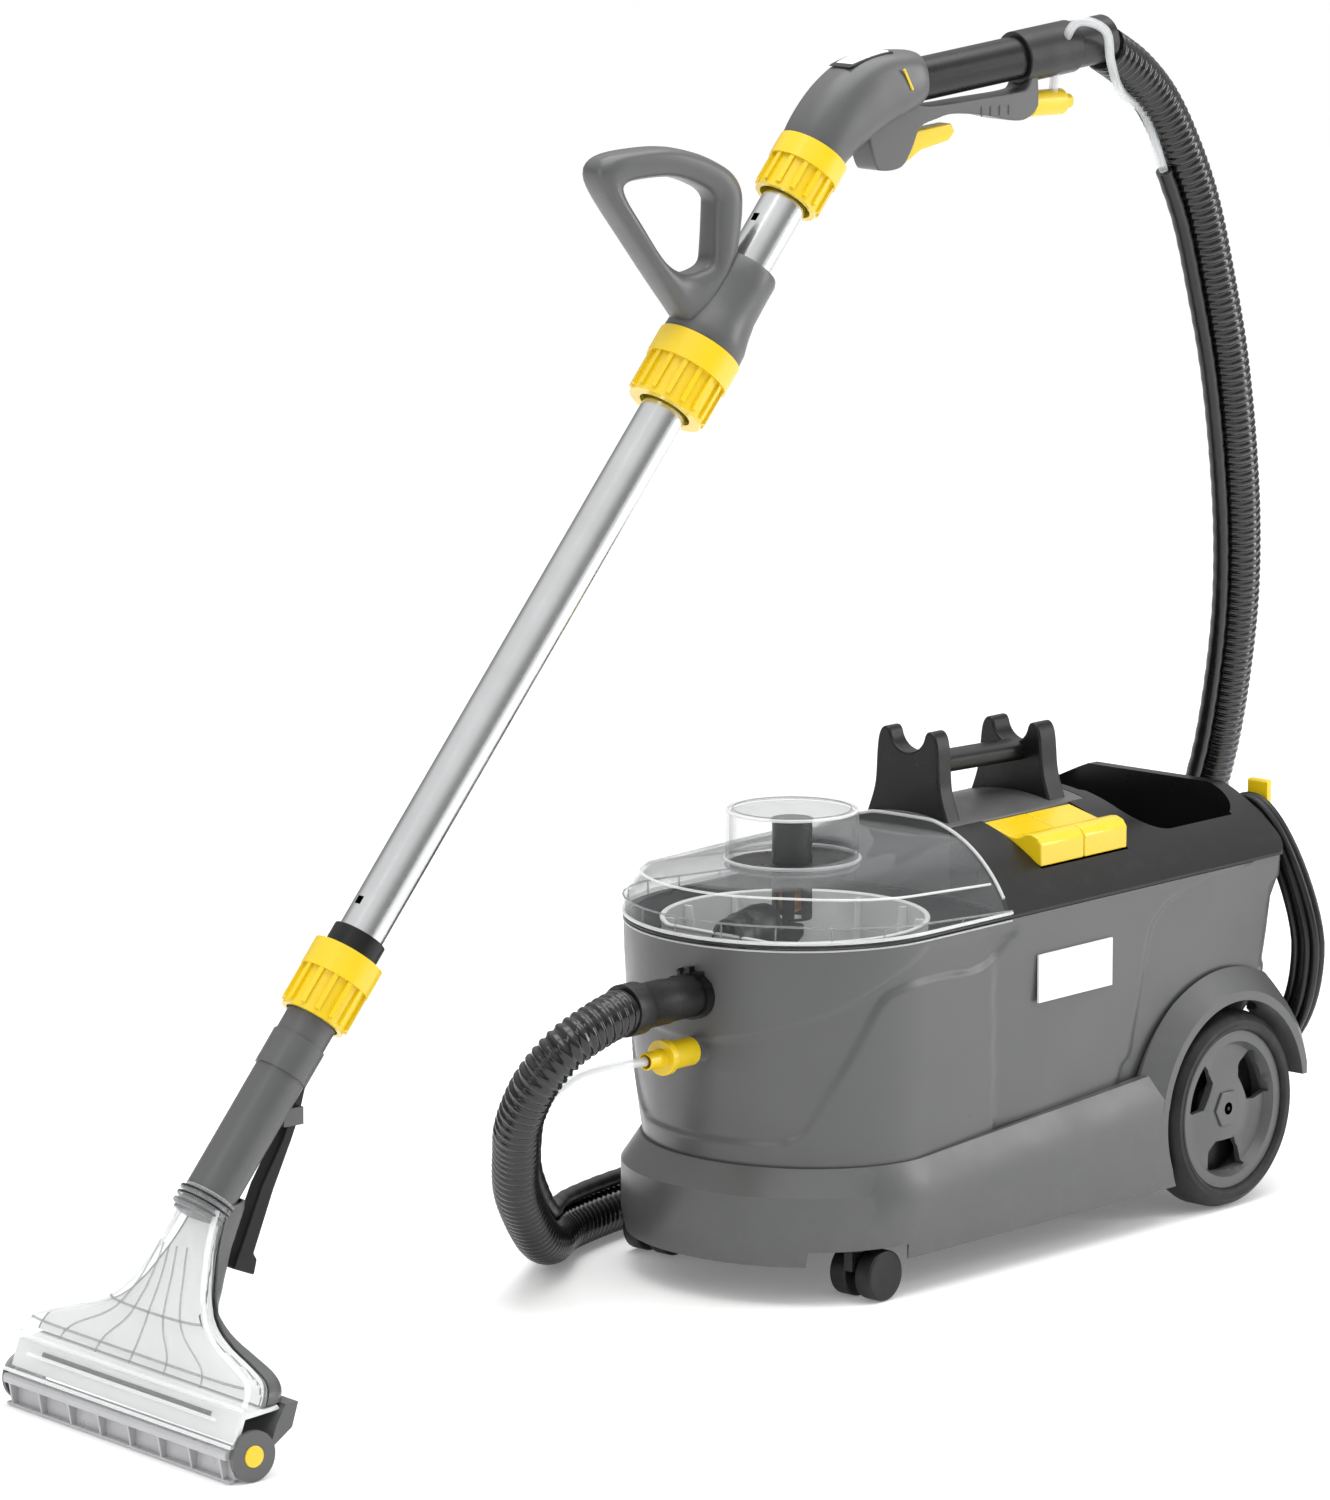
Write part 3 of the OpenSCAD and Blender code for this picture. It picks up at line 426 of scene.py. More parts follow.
def hank_line():
    """Two turns to a layer, each layer in the hollows of the one inside it."""
    places = [(c if layer % 2 == 0 else 1 - c, layer) for layer in range(4) for c in range(2)]
    points, steps = [], 30
    for i in range(int((TURNS - 0.33) * steps)):
        k, f = divmod(i / steps, 1)
        here, there = places[int(k)], places[min(int(k) + 1, TURNS - 1)]
        blend = max(0, (f - 0.7) / 0.3)
        blend = blend * blend * (3 - 2 * blend)
        angle = math.radians(-45) - 2 * math.pi * i / steps
        points.append(hank_point(angle, here[0] + (there[0] - here[0]) * blend,
                                 here[1] + (there[1] - here[1]) * blend, 0.4))
    return points


hank = hank_line()
lead_start = smooth_path([at(*p) for p in LEAD] + hank[:2], 6)[:-7]
lead_end = smooth_path([hank[-2], hank[-1], at(518, -22, 312), at(518, -6, 296), at(518, 1, 281),
                        at(517, 2, 268)], 6)[6:]
lead_line = lead_start + hank[:-1] + lead_end
lead_path = smooth_path(lead_line, 2)
mains = sweep("mains_lead_wound", lead_path, lambda i, a: 3.75, "machine", "cord_rubber", sides=12, smooth=60)
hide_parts("mains_lead", "mains_hank")

# ---------- the CAD nodes, with rounded edges ----------
BODY_OF = {n: b for b, nodes in frame["record"]["behaviour"]["bodies"].items() for n in nodes}
SLOT_OF = {s["node"]: s["material_slot"] for s in frame["record"]["subparts"]}


def dress(node, bevel=0.8, smooth=32, segments=2):
    """A copy of a CAD node with joined faces and rounded edges, in place of it."""
    source = NODES[node]
    mesh = source.data.copy()
    mesh.transform(source.matrix_world)
    bm = bmesh.new()
    bm.from_mesh(mesh)
    bmesh.ops.remove_doubles(bm, verts=bm.verts, dist=2e-6)
    bmesh.ops.dissolve_limit(bm, angle_limit=math.radians(1), verts=bm.verts, edges=bm.edges)
    bm.to_mesh(mesh)
    bm.free()
    mesh.name = node + "_form"
    if "custom_normal" in mesh.attributes:
        mesh.attributes.remove(mesh.attributes["custom_normal"])
    obj = bpy.data.objects.new(node + "_form", mesh)
    bpy.context.collection.objects.link(obj)
    slot = SLOT_OF[node]
    finish_piece(obj, MATS[slot], smooth, bevel, segments)
    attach(obj, BODY_OF[node])
    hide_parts(node)
    return obj


BEVELS = {
    "chassis": 2, "rear_cover": 1.6, "deck_panel": 1, "badge_plate": 0.5, "suction_motor": 1,
    "fan_impeller": 0.3, "spray_pump": 1, "suction_port": 0.6, "spray_socket": 0.4, "rear_axle": 0.5,
    "tyre_near": 0, "tyre_far": 0, "rim_near": 1.2, "rim_far": 1.2, "castor_fork_near": 0.8,
    "castor_fork_far": 0.8,
    "castor_wheels_near": 1.8, "castor_wheels_far": 1.8, "dirty_tank": 1, "inlet_elbow": 1,
    "fluff_filter": 0.6,
    "lid_shell": 0, "lid_dome": 2.2, "lid_gasket": 0.4, "float_cage": 0.4, "float_ball": 0,
    "switch_spray": 1.6, "switch_suction": 1.6, "cord_hook": 1.8, "cord_gland": 0.5, "mains_plug": 1.5,
    "machine_cuff": 1, "coupling_sleeve": 0.7, "wand_cuff": 1, "nozzle_back": 0.8,
    "end_button_near": 0.8, "end_button_far": 0.8, "lower_nut": 0.9,
    "lower_collar": 0.5, "wand_tube": 0.2, "grip_collet": 0.5, "grip_nut": 0.9, "upper_nut": 0.9,
    "handle_tube": 0.4, "trigger": 1.5, "spray_valve": 0.4, "hose_coupling": 0.7,
}
FORMS = {node: dress(node, width, segments=3 if width >= 1.5 else 2) for node, width in BEVELS.items()}


# ---------- tables and outlines ----------
def table(rows, z):
    """Values between the rows of a table whose first column is the height."""
    for lo, hi in zip(rows, rows[1:]):
        if z <= hi[0]:
            t = max(0, (z - lo[0]) / (hi[0] - lo[0]))
            return [a + (b - a) * t for a, b in zip(lo[1:], hi[1:])]
    return rows[-1][1:]


def steps(a, b, n):
    """n equal steps from a to b, with both ends."""
    return [a + (b - a) * k / n for k in range(n + 1)]


def arc(cx, cy, r, a0, a1, n):
    """Points along an arc, angles in degrees."""
    return [(cx + r * math.cos(math.radians(a)), cy + r * math.sin(math.radians(a)))
            for a in steps(a0, a1, n)]


def smooth_outline(points, n=6):
    """A closed smooth outline through points of two numbers."""
    ring = [Vector((a, b, 0)) for a, b in points]
    long = smooth_path(ring[-2:] + ring + ring[:2], n)
    return [(v.x, v.y) for v in long[2 * n:-2 * n - n]]


def step_up(t):
    """A soft step from 0 at t = 0 to 1 at t = 1."""
    t = max(0, min(1, t))
    return t * t * (3 - 2 * t)


def inside_by(outline, x, z):
    """How far a point is inside a closed outline, negative outside."""
    best, odd = 1e9, False
    for (ax, az), (bx, bz) in zip(outline, outline[1:] + outline[:1]):
        dx, dz = bx - ax, bz - az
        t = max(0, min(1, ((x - ax) * dx + (z - az) * dz) / (dx * dx + dz * dz)))
        best = min(best, math.hypot(x - ax - t * dx, z - az - t * dz))
        if (az > z) != (bz > z) and x < ax + dx * (z - az) / dz:
            odd = not odd
    return best if odd else -best


# ---------- tank body with its pressed-in panels ----------
# Height, nose length, half width and rear face of the body.
BODY = [(104, 117, 134, 462), (130, 122, 137, 465), (165, 130, 139, 470), (195, 136, 141, 474),
        (232, 139.5, 143, 480), (275, 141.8, 145, 485), (282, 141.9, 145.1, 495), (301.5, 142.7, 145.5, 496)]
SIDE_PANEL = smooth_outline([(600, 300), (435, 299), (366, 291), (324, 282), (303, 265), (297, 239),
                             (288, 189), (281, 155), (269, 140), (269, 60), (600, 60)], 3)
NOSE_PANEL = smooth_outline([(-300, 134), (-118, 133), (-104, 136), (-96, 142), (-91, 153), (-85, 174),
                             (-76, 195), (-66, 217), (-53, 244), (-43, 257), (-27, 263), (-5, 266),
                             (30, 266), (58, 264), (80, 268), (104, 281), (110, 292), (0, 292),
                             (-300, 292)], 3)
AXLE = (409.3, 87.1)
# How deep the side panel, the nose panel and the step behind the nose are, and over what width they fall.
SIDE_DEEP, SIDE_FALL = 3, 4.5
NOSE_DEEP, NOSE_FALL = 3.2, 5
STEP_DEEP, STEP_FALL, STEP_FADES = 2.4, 4, 70
# The wheel wells: their half spacing and the radii where they start and end.
WELL_Y, WELL_R, WELL_EDGE = 107, 99, 108


def squared(value, power):
    """value to a power with its sign kept, which squares up a circle."""
    return math.copysign(abs(value) ** power, value)


def body_outline(nose, hw, rear, corner=15):
    """The body in plan: a round nose, straight sides and rounded rear corners."""
    front = [(nose * c, hw * s) for c, s in arc(0, 0, 1, 90, 270, 120)]
    side = [(x, -hw) for x in steps(5, rear - corner - 4, 100)]
    turn_in = arc(rear - corner, corner - hw, corner, 270, 360, 8)
    middle = [(rear, y) for y in steps(corner - hw + 6, hw - corner - 6, 30)]
    turn_out = arc(rear - corner, hw - corner, corner, 0, 90, 8)
    return front + side + turn_in + middle + turn_out + [(x, hw) for x in steps(rear - corner - 4, 5, 100)]


def body_ring(z, inset=0):
    """The body's outline at one height, pushed in at its panels and wheels, or all round by inset."""
    ring = body_outline(*table(BODY, z))
    out = []
    for k, (x, y) in enumerate(ring):
        ax, ay = ring[k - 1]
        bx, by = ring[(k + 1) % len(ring)]
        nx, ny = by - ay, ax - bx
        long = math.hypot(nx, ny)
        nx, ny = -nx / long, -ny / long
        inner_x = 300 if x >= 300 else 0
        if nx * (x - inner_x) + ny * y < 0:
            nx, ny = -nx, -ny
        push = inset
        if not inset:
            push = SIDE_DEEP * step_up(0.5 + inside_by(SIDE_PANEL, x, z) / SIDE_FALL) * abs(ny)
            push += NOSE_DEEP * step_up(0.5 + inside_by(NOSE_PANEL, x, z) / NOSE_FALL)
            beyond = x - 97 + (z - 126) * 0.08
            fade = max(0, 1 - max(0, beyond) / STEP_FADES) * step_up((296 - z) / 60)
            push += STEP_DEEP * step_up(beyond / STEP_FALL) * fade * abs(ny)
        x, y = x - nx * push, y - ny * push
        reach = math.hypot(x - AXLE[0], z - AXLE[1])
        if abs(y) > WELL_Y and reach < WELL_EDGE:
            share = step_up((reach - WELL_R) / (WELL_EDGE - WELL_R))
            y = math.copysign(WELL_Y + (abs(y) - WELL_Y) * share, y)
        out.append(at(x, y, z))
    return out


outer = [body_ring(z) for z in steps(104, 272, 72) + [275, 277, 279.5, 282] + steps(284, 300, 4) + [301.2]]
inner = [body_ring(z, 3.5) for z in (301.2, 290, 282, 260, 220, 180, 140, 108)]
FORMS["tank_body"] = loft("tank_body_shell", outer + inner, "machine", "body_plastic", smooth=50)
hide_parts("tank_body")


# ---------- carry handle ----------
CRADLE_R = 19.3


def cradle_tower(name, x0, x1, axis_z, base):
    """A saddle with two rounded horns and a round cradle for the wand tube."""
    side = [(47, base - 16), (45, base - 6), (39, base + 10), (35.5, base + 24), (34, axis_z - 22),
            (32.5, axis_z - 10), (30, axis_z - 3), (26, axis_z + 0.5), (21.5, axis_z), (CRADLE_R, axis_z - 3)]
    side = [(v.x, v.y) for v in smooth_path([Vector((a, b, 0)) for a, b in side], 3)]
    cradle = arc(0, axis_z, CRADLE_R, -12, -168, 16)
    outline = side + cradle + [(-a, b) for a, b in reversed(side)]
    prism(name, outline, lambda a, t, b: at(t, a, b), x0, x1, "machine", "black_plastic", bevel=4.5,
          segments=4)


cradle_tower("carry_tower_front", 145.6, 164, 440.3, 370)
cradle_tower("carry_tower_rear", 285, 308, 430.2, 368)
bar_ring = [(16.5 * squared(c, 0.6), 8.5 * squared(s, 0.7)) for c, s in arc(0, 0, 1, 0, 350, 35)]
carry_bar = loft("carry_bar", [[at(x, y, 408 - (x - 150) * 0.026 + z) for y, z in bar_ring]
                               for x in steps(158, 292, 8)], "machine", "black_plastic", smooth=50)
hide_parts("carry_handle")

# ---------- loop handle on the wand ----------
LOOP_OUT = [(-12, 20), (-22, 4), (-46, 8), (-110, 23), (-160, 35), (-180, 44), (-183, 56), (-172, 72),
            (-138, 101), (-112, 115), (-88, 123), (-66, 126), (-48, 119), (-32, 97), (-20, 72), (-12, 46)]
LOOP_IN = [(-40, 60), (-47, 44), (-60, 34), (-84, 31), (-120, 40), (-144, 47), (-151, 54), (-142, 66),
           (-114, 88), (-84, 99), (-68, 98), (-54, 86)]


def ray_hit(outline, cx, cy, angle):
    """The point of a star-shaped outline in one direction from its middle."""
    dx, dy = math.cos(angle), math.sin(angle)
    for (ax, ay), (bx, by) in zip(outline, outline[1:] + outline[:1]):
        ex, ey = bx - ax, by - ay
        det = dy * ex - dx * ey
        if abs(det) < 1e-9:
            continue
        t = ((ay - cy) * ex - (ax - cx) * ey) / det
        k = ((ay - cy) * dx - (ax - cx) * dy) / det
        if t > 0 and -1e-6 <= k <= 1 + 1e-6:
            return Vector((cx + t * dx, cy + t * dy))
    return Vector((cx, cy))


# How far up the tube the grip's sleeve starts, and the middle of its loop.
GRIP_S = 633.1
LOOP_X, LOOP_Z = -100, 62
loop_out, loop_in = smooth_outline(LOOP_OUT), smooth_outline(LOOP_IN)
loop_rings = []
for k in range(120):
    angle = 2 * math.pi * k / 120
    far, near = ray_hit(loop_out, LOOP_X, LOOP_Z, angle), ray_hit(loop_in, LOOP_X, LOOP_Z, angle)
    middle, half = (far + near) / 2, (far - near) / 2
    section = []
    for c, s in arc(0, 0, 1, 0, 345, 23):
        point = middle + half * squared(c, 0.75)
        section.append(tube_at(point.x, 15.5 * squared(s, 0.6), GRIP_S + point.y))
    loop_rings.append(section)
loop_rings.append(loop_rings[0])
FORMS["grip_handle"] = loft("grip_loop", loop_rings, "grip", "body_plastic", caps=False, smooth=60)
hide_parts("grip_handle")
sleeve_profile = [(22.6, 0), (33.5, 0), (34.5, 3), (34, 12), (31, 24), (28.6, 38), (28, 60), (28, 74),
                  (26.5, 78), (22.6, 78), (22.6, 0)]
lathe("grip_sleeve", sleeve_profile, lambda x, y, h: tube_at(x, y, GRIP_S + h), "grip", "body_plastic",
      smooth=45)

# ---------- floor nozzle: clear cover, pale duct inside it, fins and edging, drawn as rods of painted dark line and painted highlight ---
# Half the width of the nozzle.
HALF = 154
# Height, middle and half depth along the heading, half width and squareness of the fan.
FAN = [(56, 22, 15, 152, 0.3), (64, 26, 14.6, 150, 0.32), (72, 30, 14, 143, 0.4), (79, 33.5, 13.7, 122, 0.5),
       (86, 37, 13.5, 95, 0.6), (94, 41, 13.6, 73, 0.7), (102, 45, 14, 60, 0.8), (116, 53, 15.4, 47, 0.85),
       (131, 61, 17, 38, 0.9), (146, 69, 20, 30, 1), (162, 78, 23.6, 24.5, 1), (178, 87, 26.8, 21.5, 1)]


def fan_at(z):
    """The fan's row of measures at any height, smoothed between the rows."""
    rows = [Vector(r[1:]) for r in FAN]
    for k, (lo, hi) in enumerate(zip(FAN, FAN[1:])):
        if z <= hi[0]:
            t = (z - lo[0]) / (hi[0] - lo[0])
            a, b, c, d = rows[max(k - 1, 0)], rows[k], rows[k + 1], rows[min(k + 2, len(rows) - 1)]
            return 0.5 * (2 * b + (c - a) * t + (2 * a - 5 * b + 4 * c - d) * t * t
                          + (3 * b - a - 3 * c + d) * t ** 3)
    return rows[-1]


def joint_plane(z):
    """Where the clear cover meets the back, along the heading."""
    return 28 + (z - 50) * math.tan(math.radians(27))


def fan_ring(z, inset, keep):
    """One section of the fan; keep cuts it to one side of the joint."""
    mid, deep, wide, square = fan_at(z)
    out = []
    for c, s in arc(0, 0, 1, 0, 354, 59):
        u = mid + (deep - inset) * squared(c, square)
        w = (wide - inset) * squared(s, square)
        out.append(wand_at(keep(u, joint_plane(z)), w, z))
    return out


FAN_Z = steps(56, 177, 44)
cover = [fan_ring(z, 0, lambda u, j: min(u, j)) for z in FAN_Z]
cover_in = [fan_ring(z, 2.4, lambda u, j: min(u, j)) for z in reversed(FAN_Z)]
FORMS["nozzle_cover"] = loft("nozzle_cover_shell", cover + cover_in, "machine", "clear_plastic",
                             caps=False, smooth=60, finish="clear_light")
prism("nozzle_cover_window", [(-4, 29), (-2, 34), (3, 46), (8, 57.5), (12, 60), (12, 56), (6, 45),
                              (0.5, 33), (-0.5, 29)], wand_at, -HALF, HALF, "machine", "clear_plastic",
      smooth=50, bevel=0.4, finish="clear_light")
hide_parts("nozzle_cover")

# Height, and how much further the back stands out there.
BULGE = [(56, 20), (72, 20), (100, 17), (130, 15), (150, 13), (165, 9), (178, 3)]


def behind_joint(z):
    """The back stands out behind the joint by more than the plain fan does."""
    mid, deep, wide, square = fan_at(z)
    more = table(BULGE, z)[0]
    far = mid + deep - joint_plane(z)
    return lambda u, j: j + 0.4 + step_up(max(0, u - j) / max(1, far)) ** 0.6 * (max(0, far) + more)


back_skin = [fan_ring(z, 0, behind_joint(z)) for z in FAN_Z]
back_in = [fan_ring(z, 2.4, behind_joint(z)) for z in reversed(FAN_Z)]
loft("nozzle_back_fan", back_skin + back_in, "machine", "body_plastic", caps=False, smooth=60)
duct = [fan_ring(z, 4.5, lambda u, j: max(min(u, j + 2), j - 1.5)) for z in FAN_Z]
loft("nozzle_duct_floor", duct, "machine", "white_plastic", smooth=60)


def fan_front(z, share, lift=0):
    """A point on the front of the fan, share of the half width across."""
    mid, deep, wide, square = fan_at(z)
    s = max(-0.999, min(0.999, share))
    angle = math.asin(abs(s) ** (1 / square))
    return wand_at(mid - (deep + lift) * abs(math.cos(angle)) ** square, wide * s, z)


def rod(name, points, radius, slot, body="machine", sides=10, **look):
    """A thin round rod along a smooth path."""
    return sweep(name, smooth_path(points, 3), lambda i, a: radius, body, slot, sides=sides, smooth=60,
                 **look)


# The fins: thin rods in dense grey clear plastic, painted dark lines where the cover's clear edges refract
# shade.
for k, share in enumerate((-0.62, -0.3, 0, 0.3, 0.62)):
    rod("nozzle_fin_%d" % (k + 1), [fan_front(z, share, -1.2) for z in steps(62, 150, 14)], 0.8,
        "clear_plastic", finish="clear_painted_dark_line")
# The cover's side edges: rods in dense white clear plastic, painted highlights.
for k, share in enumerate((-0.985, 0.985)):
    rod("nozzle_edge_%d" % (k + 1), [fan_front(z, share, 0) for z in steps(58, 176, 24)], 2.2,
        "clear_plastic", finish="clear_painted_highlight")
# The shoulders: the same painted dark lines across the cover at two heights.
for k, z in enumerate((70, 100)):
    rod("nozzle_shoulder_%d" % (k + 1), [fan_front(z, s, 0.2) for s in steps(-0.96, 0.96, 14)], 1.1,
        "clear_plastic", finish="clear_painted_dark_line")
# The window's edges: rods in dense white clear plastic, painted highlights.
for k, (u, z, reach) in enumerate(((-3.4, 30, 152), (3.2, 45, 125), (8.3, 57, 152))):
    rod("nozzle_window_edge_%d" % (k + 1), [wand_at(u, w, z) for w in steps(-reach, reach, 6)], 1.5,
        "clear_plastic", finish="clear_painted_highlight")
prism("nozzle_tray", [(3.5, 31), (11, 52), (44, 55), (47, 51), (14, 48), (8, 31)], wand_at, -HALF + 5,
      HALF - 5, "machine", "white_plastic", smooth=40, bevel=0.8)
prism("nozzle_slot", [(6.4, 43), (8.2, 48), (9.6, 48), (7.6, 43)], wand_at, -112, 112, "machine",
      "black_plastic", smooth=50, bevel=0.3)
lathe("nozzle_neck_rings", [(21.3, -180), (23.4, -180), (24, -178), (24, -174), (23, -172.5),
                            (23.8, -171), (23.8, -168), (22.9, -166.5), (23.4, -165), (23.4, -161),
                            (21.3, -160), (21.3, -180)], tube_at, "machine", "clear_plastic", smooth=40,
      finish="clear_light")
lathe("nozzle_neck_liner", [(0.1, -180), (20.6, -180), (21, -172), (17, -167), (0.1, -167)], tube_at,
      "machine", "body_plastic", smooth=40)
for k, h in enumerate((-175.5, -169.5, -164)):
    lathe("nozzle_neck_seal_%d" % (k + 1), [(21.6, h - 0.7), (23.9, h - 0.7), (23.9, h + 0.7),
                                            (21.6, h + 0.7), (21.6, h - 0.7)], tube_at, "machine",
          "black_plastic", smooth=40)
lip = prism("lip_blade", [(3, 0.4), (8, 0.2), (9, 6), (12, 26), (3, 26)], wand_at, 6 - HALF, HALF - 6,
            "lip", "lip_plastic", bevel=0.4)
prism("lip_rail", [(-5, 19), (-5.4, 24.2), (-3.8, 26.4), (11, 26.6), (11, 19)], wand_at, 6 - HALF,
      HALF - 6, "lip", "lip_plastic", bevel=0.8)
prism("lip_foot", [(-1.5, 0.3), (-2, 3), (8, 3), (8, 0.3)], wand_at, 6 - HALF, HALF - 6, "lip",
      "lip_plastic", bevel=0.4)
prism("lip_rear", [(16, 16), (24, 0.3), (30, 0.3), (32, 8), (24, 20)], wand_at, 8 - HALF, HALF - 8, "lip",
      "lip_plastic", bevel=0.8)
for k in range(8):
    w = 14 - HALF + 40 * k
    prism("lip_gusset_%d" % (k + 1), [(-4.8, 20), (-1.5, 2), (4, 2), (4, 20)], wand_at, w - 1.1, w + 1.1,
          "lip", "lip_plastic")
for k, w in enumerate((-HALF + 6.2, HALF - 6.2)):
    lathe("lip_end_%d" % (k + 1), [(0.1, -1.7), (13.4, -1.7), (13.4, 1.7), (0.1, 1.7)],
          lambda x, y, h, w=w: wand_at(18 + x, w + h, 20 + y), "lip", "lip_plastic", smooth=40)
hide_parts("lip_holder")


# The spray lance's pivot along the heading and above the floor, and the lever's lean.
LANCE_X, LANCE_Z, LANCE_LEAN = 168, 236, math.radians(22)


def lance_at(x, y, z):
    """Millimetres on the spray lance's lever, from its pivot, z along it."""
    c, s = math.cos(LANCE_LEAN), math.sin(LANCE_LEAN)
    return wand_at(LANCE_X + x * c + z * s, y, LANCE_Z - x * s + z * c)


# Height along the lever, its two faces along the heading and its half width.
LEVER = [(-128, -15, 6, 9), (-126, -15.5, 6, 9), (-116, -15, 5, 8.5), (-112, -14, 0.5, 8),
         (-60, -12, 1, 7.5), (-20, -5, 4, 7), (0, -4, 5, 6.4), (30, -3, 3, 5), (40, -2, 2, 4)]
lever_rings = [[lance_at(x, y, z) for x, y in ((lo, -w), (hi, -w), (hi, w), (lo, w))] for z, lo, hi,
               w in LEVER]
lever = loft("lance_lever", lever_rings, "lance", "black_plastic", smooth=35, bevel=1.4, segments=3)
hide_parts("spray_lance")


# ---------- wand head: hood, lower spine and its insets ----------
def hood_ring(place, rx, ry, square, n=40):
    """A ring that is more or less square."""
    return [place(rx * squared(c, square), ry * squared(s, square)) for c,
            s in arc(0, 0, 1, 0, 360 - 360 / n, n - 1)]


# Middle along the heading, middle height, tilt from upright in degrees, half height, half width, squareness.
HOOD = [(697, 950, 51.6, 27, 27, 1), (706, 962, 50, 28.5, 28, 0.95), (719, 975, 44, 30, 28, 0.85),
        (734, 987, 34, 31, 27.5, 0.75), (751, 997, 24, 31, 27, 0.7), (769, 1003, 14, 29.5, 26, 0.7),
        (786, 1006, 8, 27, 25, 0.72), (800, 1008, 6.4, 24.5, 23.5, 0.78), (807, 1009, 6.4, 22, 22, 0.85)]


def hood_section(row):
    """One tilted section of the hood."""
    u, z, tilt, half_up, half_wide, square = row
    t = math.radians(tilt)
    return hood_ring(lambda a, w: wand_at(u - a * math.sin(t), w, z + a * math.cos(t)), half_up,
                     half_wide, square)


hood_rows = smooth_path([Vector(r) for r in HOOD], 4)
hood = loft("handle_hood", [hood_section(r) for r in hood_rows], "machine", "body_plastic", smooth=60)
spine_outline = smooth_outline([(750, 972), (757, 942), (766, 936), (786, 938), (797, 952), (806, 969),
                                (824, 975), (842, 978), (875, 975), (905, 969), (922, 969), (934, 977),
                                (936, 986), (934, 1008), (928, 1008), (924, 996), (914, 992), (870, 989),
                                (815, 986), (790, 992), (762, 990)], 4)
spine = prism("handle_spine", spine_outline, wand_at, -13.5, 13.5, "machine", "body_plastic",
              smooth=40, bevel=4, segments=4)
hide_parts("handle_body")
plate_outline = smooth_outline([(731, 1022.5), (740, 1026.5), (756, 1031), (772, 1033.5), (772, 1031),
                                (756, 1028), (740, 1023), (731, 1019)], 2)
prism("handle_window", plate_outline, wand_at, -11, 11, "machine", "badge", smooth=40, bevel=0.8)
prism("handle_window_frame", [(a + (a - 752) * 0.12, b - 0.7) for a, b in plate_outline], wand_at,
      -13.5, 13.5, "machine", "black_plastic", smooth=40, bevel=0.8)
for side, name in ((-1, "near"), (1, "far")):
    rod("handle_stripe_" + name, [wand_at(776 + 10 * t, side * (26.6 - 0.9 * t), 1019 - 17 * t)
                                  for t in steps(0, 1, 5)], 1.1, "yellow_plastic")
for k in range(4):
    rod("handle_rib_%d" % (k + 1), [wand_at(872 + 10 * k, -13.7, z) for z in steps(974, 982, 3)], 0.7,
        "body_plastic")

# ---------- lid edges, seam, dome rims and what shows under the lid; the clear edges are rods of painted highlight and painted dark line ---
# The lid's rear edge is an arc in plan; the deck is a crown of a wide radius; the seam is where the lid sits.
ARC_X, ARC_R, SEAM_Z = 144, 320, 301.5
DECK_TOP, DECK_R, DECK_FLAT = 370, 194, 367.5


def nose_share(x):
    """How far along from the lid's rear end to its nose, from 0 to 1."""
    return max(0, min(1, (115 - x) / 230))


def lid_line(inward, rise, grow=0, lift=0):
    """A line round the lid from its far rear corner past the nose to the near one."""
    out = []
    half = [(x, 145.5) for x in steps(110, 5, 10)] + [(142.7 * c, 145.5 * s) for c,
                                                      s in arc(0, 0, 1, 90, 270, 48)]
    for x, y in half + [(x, -145.5) for x in steps(5, 110, 10)]:
        k = nose_share(x)
        c = (24.5 - 10.8 * k) * inward - grow
        q = math.hypot(min(x, 0), y)
        wall = SEAM_Z if rise == 0 else 308 + 13 * k
        slope = (19.5 + 1.5 * k) * max(0, rise - 1)
        out.append(at(x * (1 - c / q) if x < 0 else x, y * (1 - c / q), wall + slope + lift))
    return out


# Rods along the lid's clear edges and the body's top edge: the white ones are painted highlights, the grey
# one is a painted dark line.
rod("lid_crease", lid_line(1, 2, 0.2), 1.1, "clear_plastic", "lid", finish="clear_painted_highlight")
rod("lid_wall_top", lid_line(0, 1, 0.2), 0.9, "clear_plastic", "lid", finish="clear_painted_dark_line")
rod("lid_flange", lid_line(0, 0, 0.1, 5.2), 1.5, "clear_plastic", "lid", finish="clear_painted_highlight")
rod("lid_flange_low", lid_line(0, 0, -0.4, 2.0), 1.3, "seal_rubber", "lid")
rod("body_top_bead", lid_line(0, 0, -0.1, -1.4), 0.8, "clear_plastic", finish="clear_painted_highlight")
# The lid's ribs: grey rods, painted dark lines.
low, high = lid_line(0, 0, -1.6, 4), lid_line(0, 1, -1.6)
for k in range(4, len(low), 5):
    rod("lid_rib_%d" % (k // 5 + 1), [low[k], high[k]], 0.8, "clear_plastic", "lid", sides=6,
        finish="clear_painted_dark_line")
# The lid's rear edge: a rod of painted highlight.
crown_top = [at(ARC_X - ARC_R + math.sqrt(ARC_R ** 2 - y * y) - 1.2, y,
                min(DECK_TOP - DECK_R + math.sqrt(DECK_R ** 2 - y * y), DECK_FLAT) - 0.6)
             for y in steps(-133, 133, 24)]
rod("lid_rear_edge", crown_top, 1.5, "clear_plastic", "lid", finish="clear_painted_highlight")


def ring(name, r, z, thick, body, slot, **look):
    """A round bead about the dome's axis."""
    profile = [(r + thick * c, z + thick * s) for c, s in arc(0, 0, 1, 0, 360, 12)]
    return lathe(name, profile, lambda x, y, h: at(x - 4, y, h), body, slot, steps=72, smooth=60, **look)


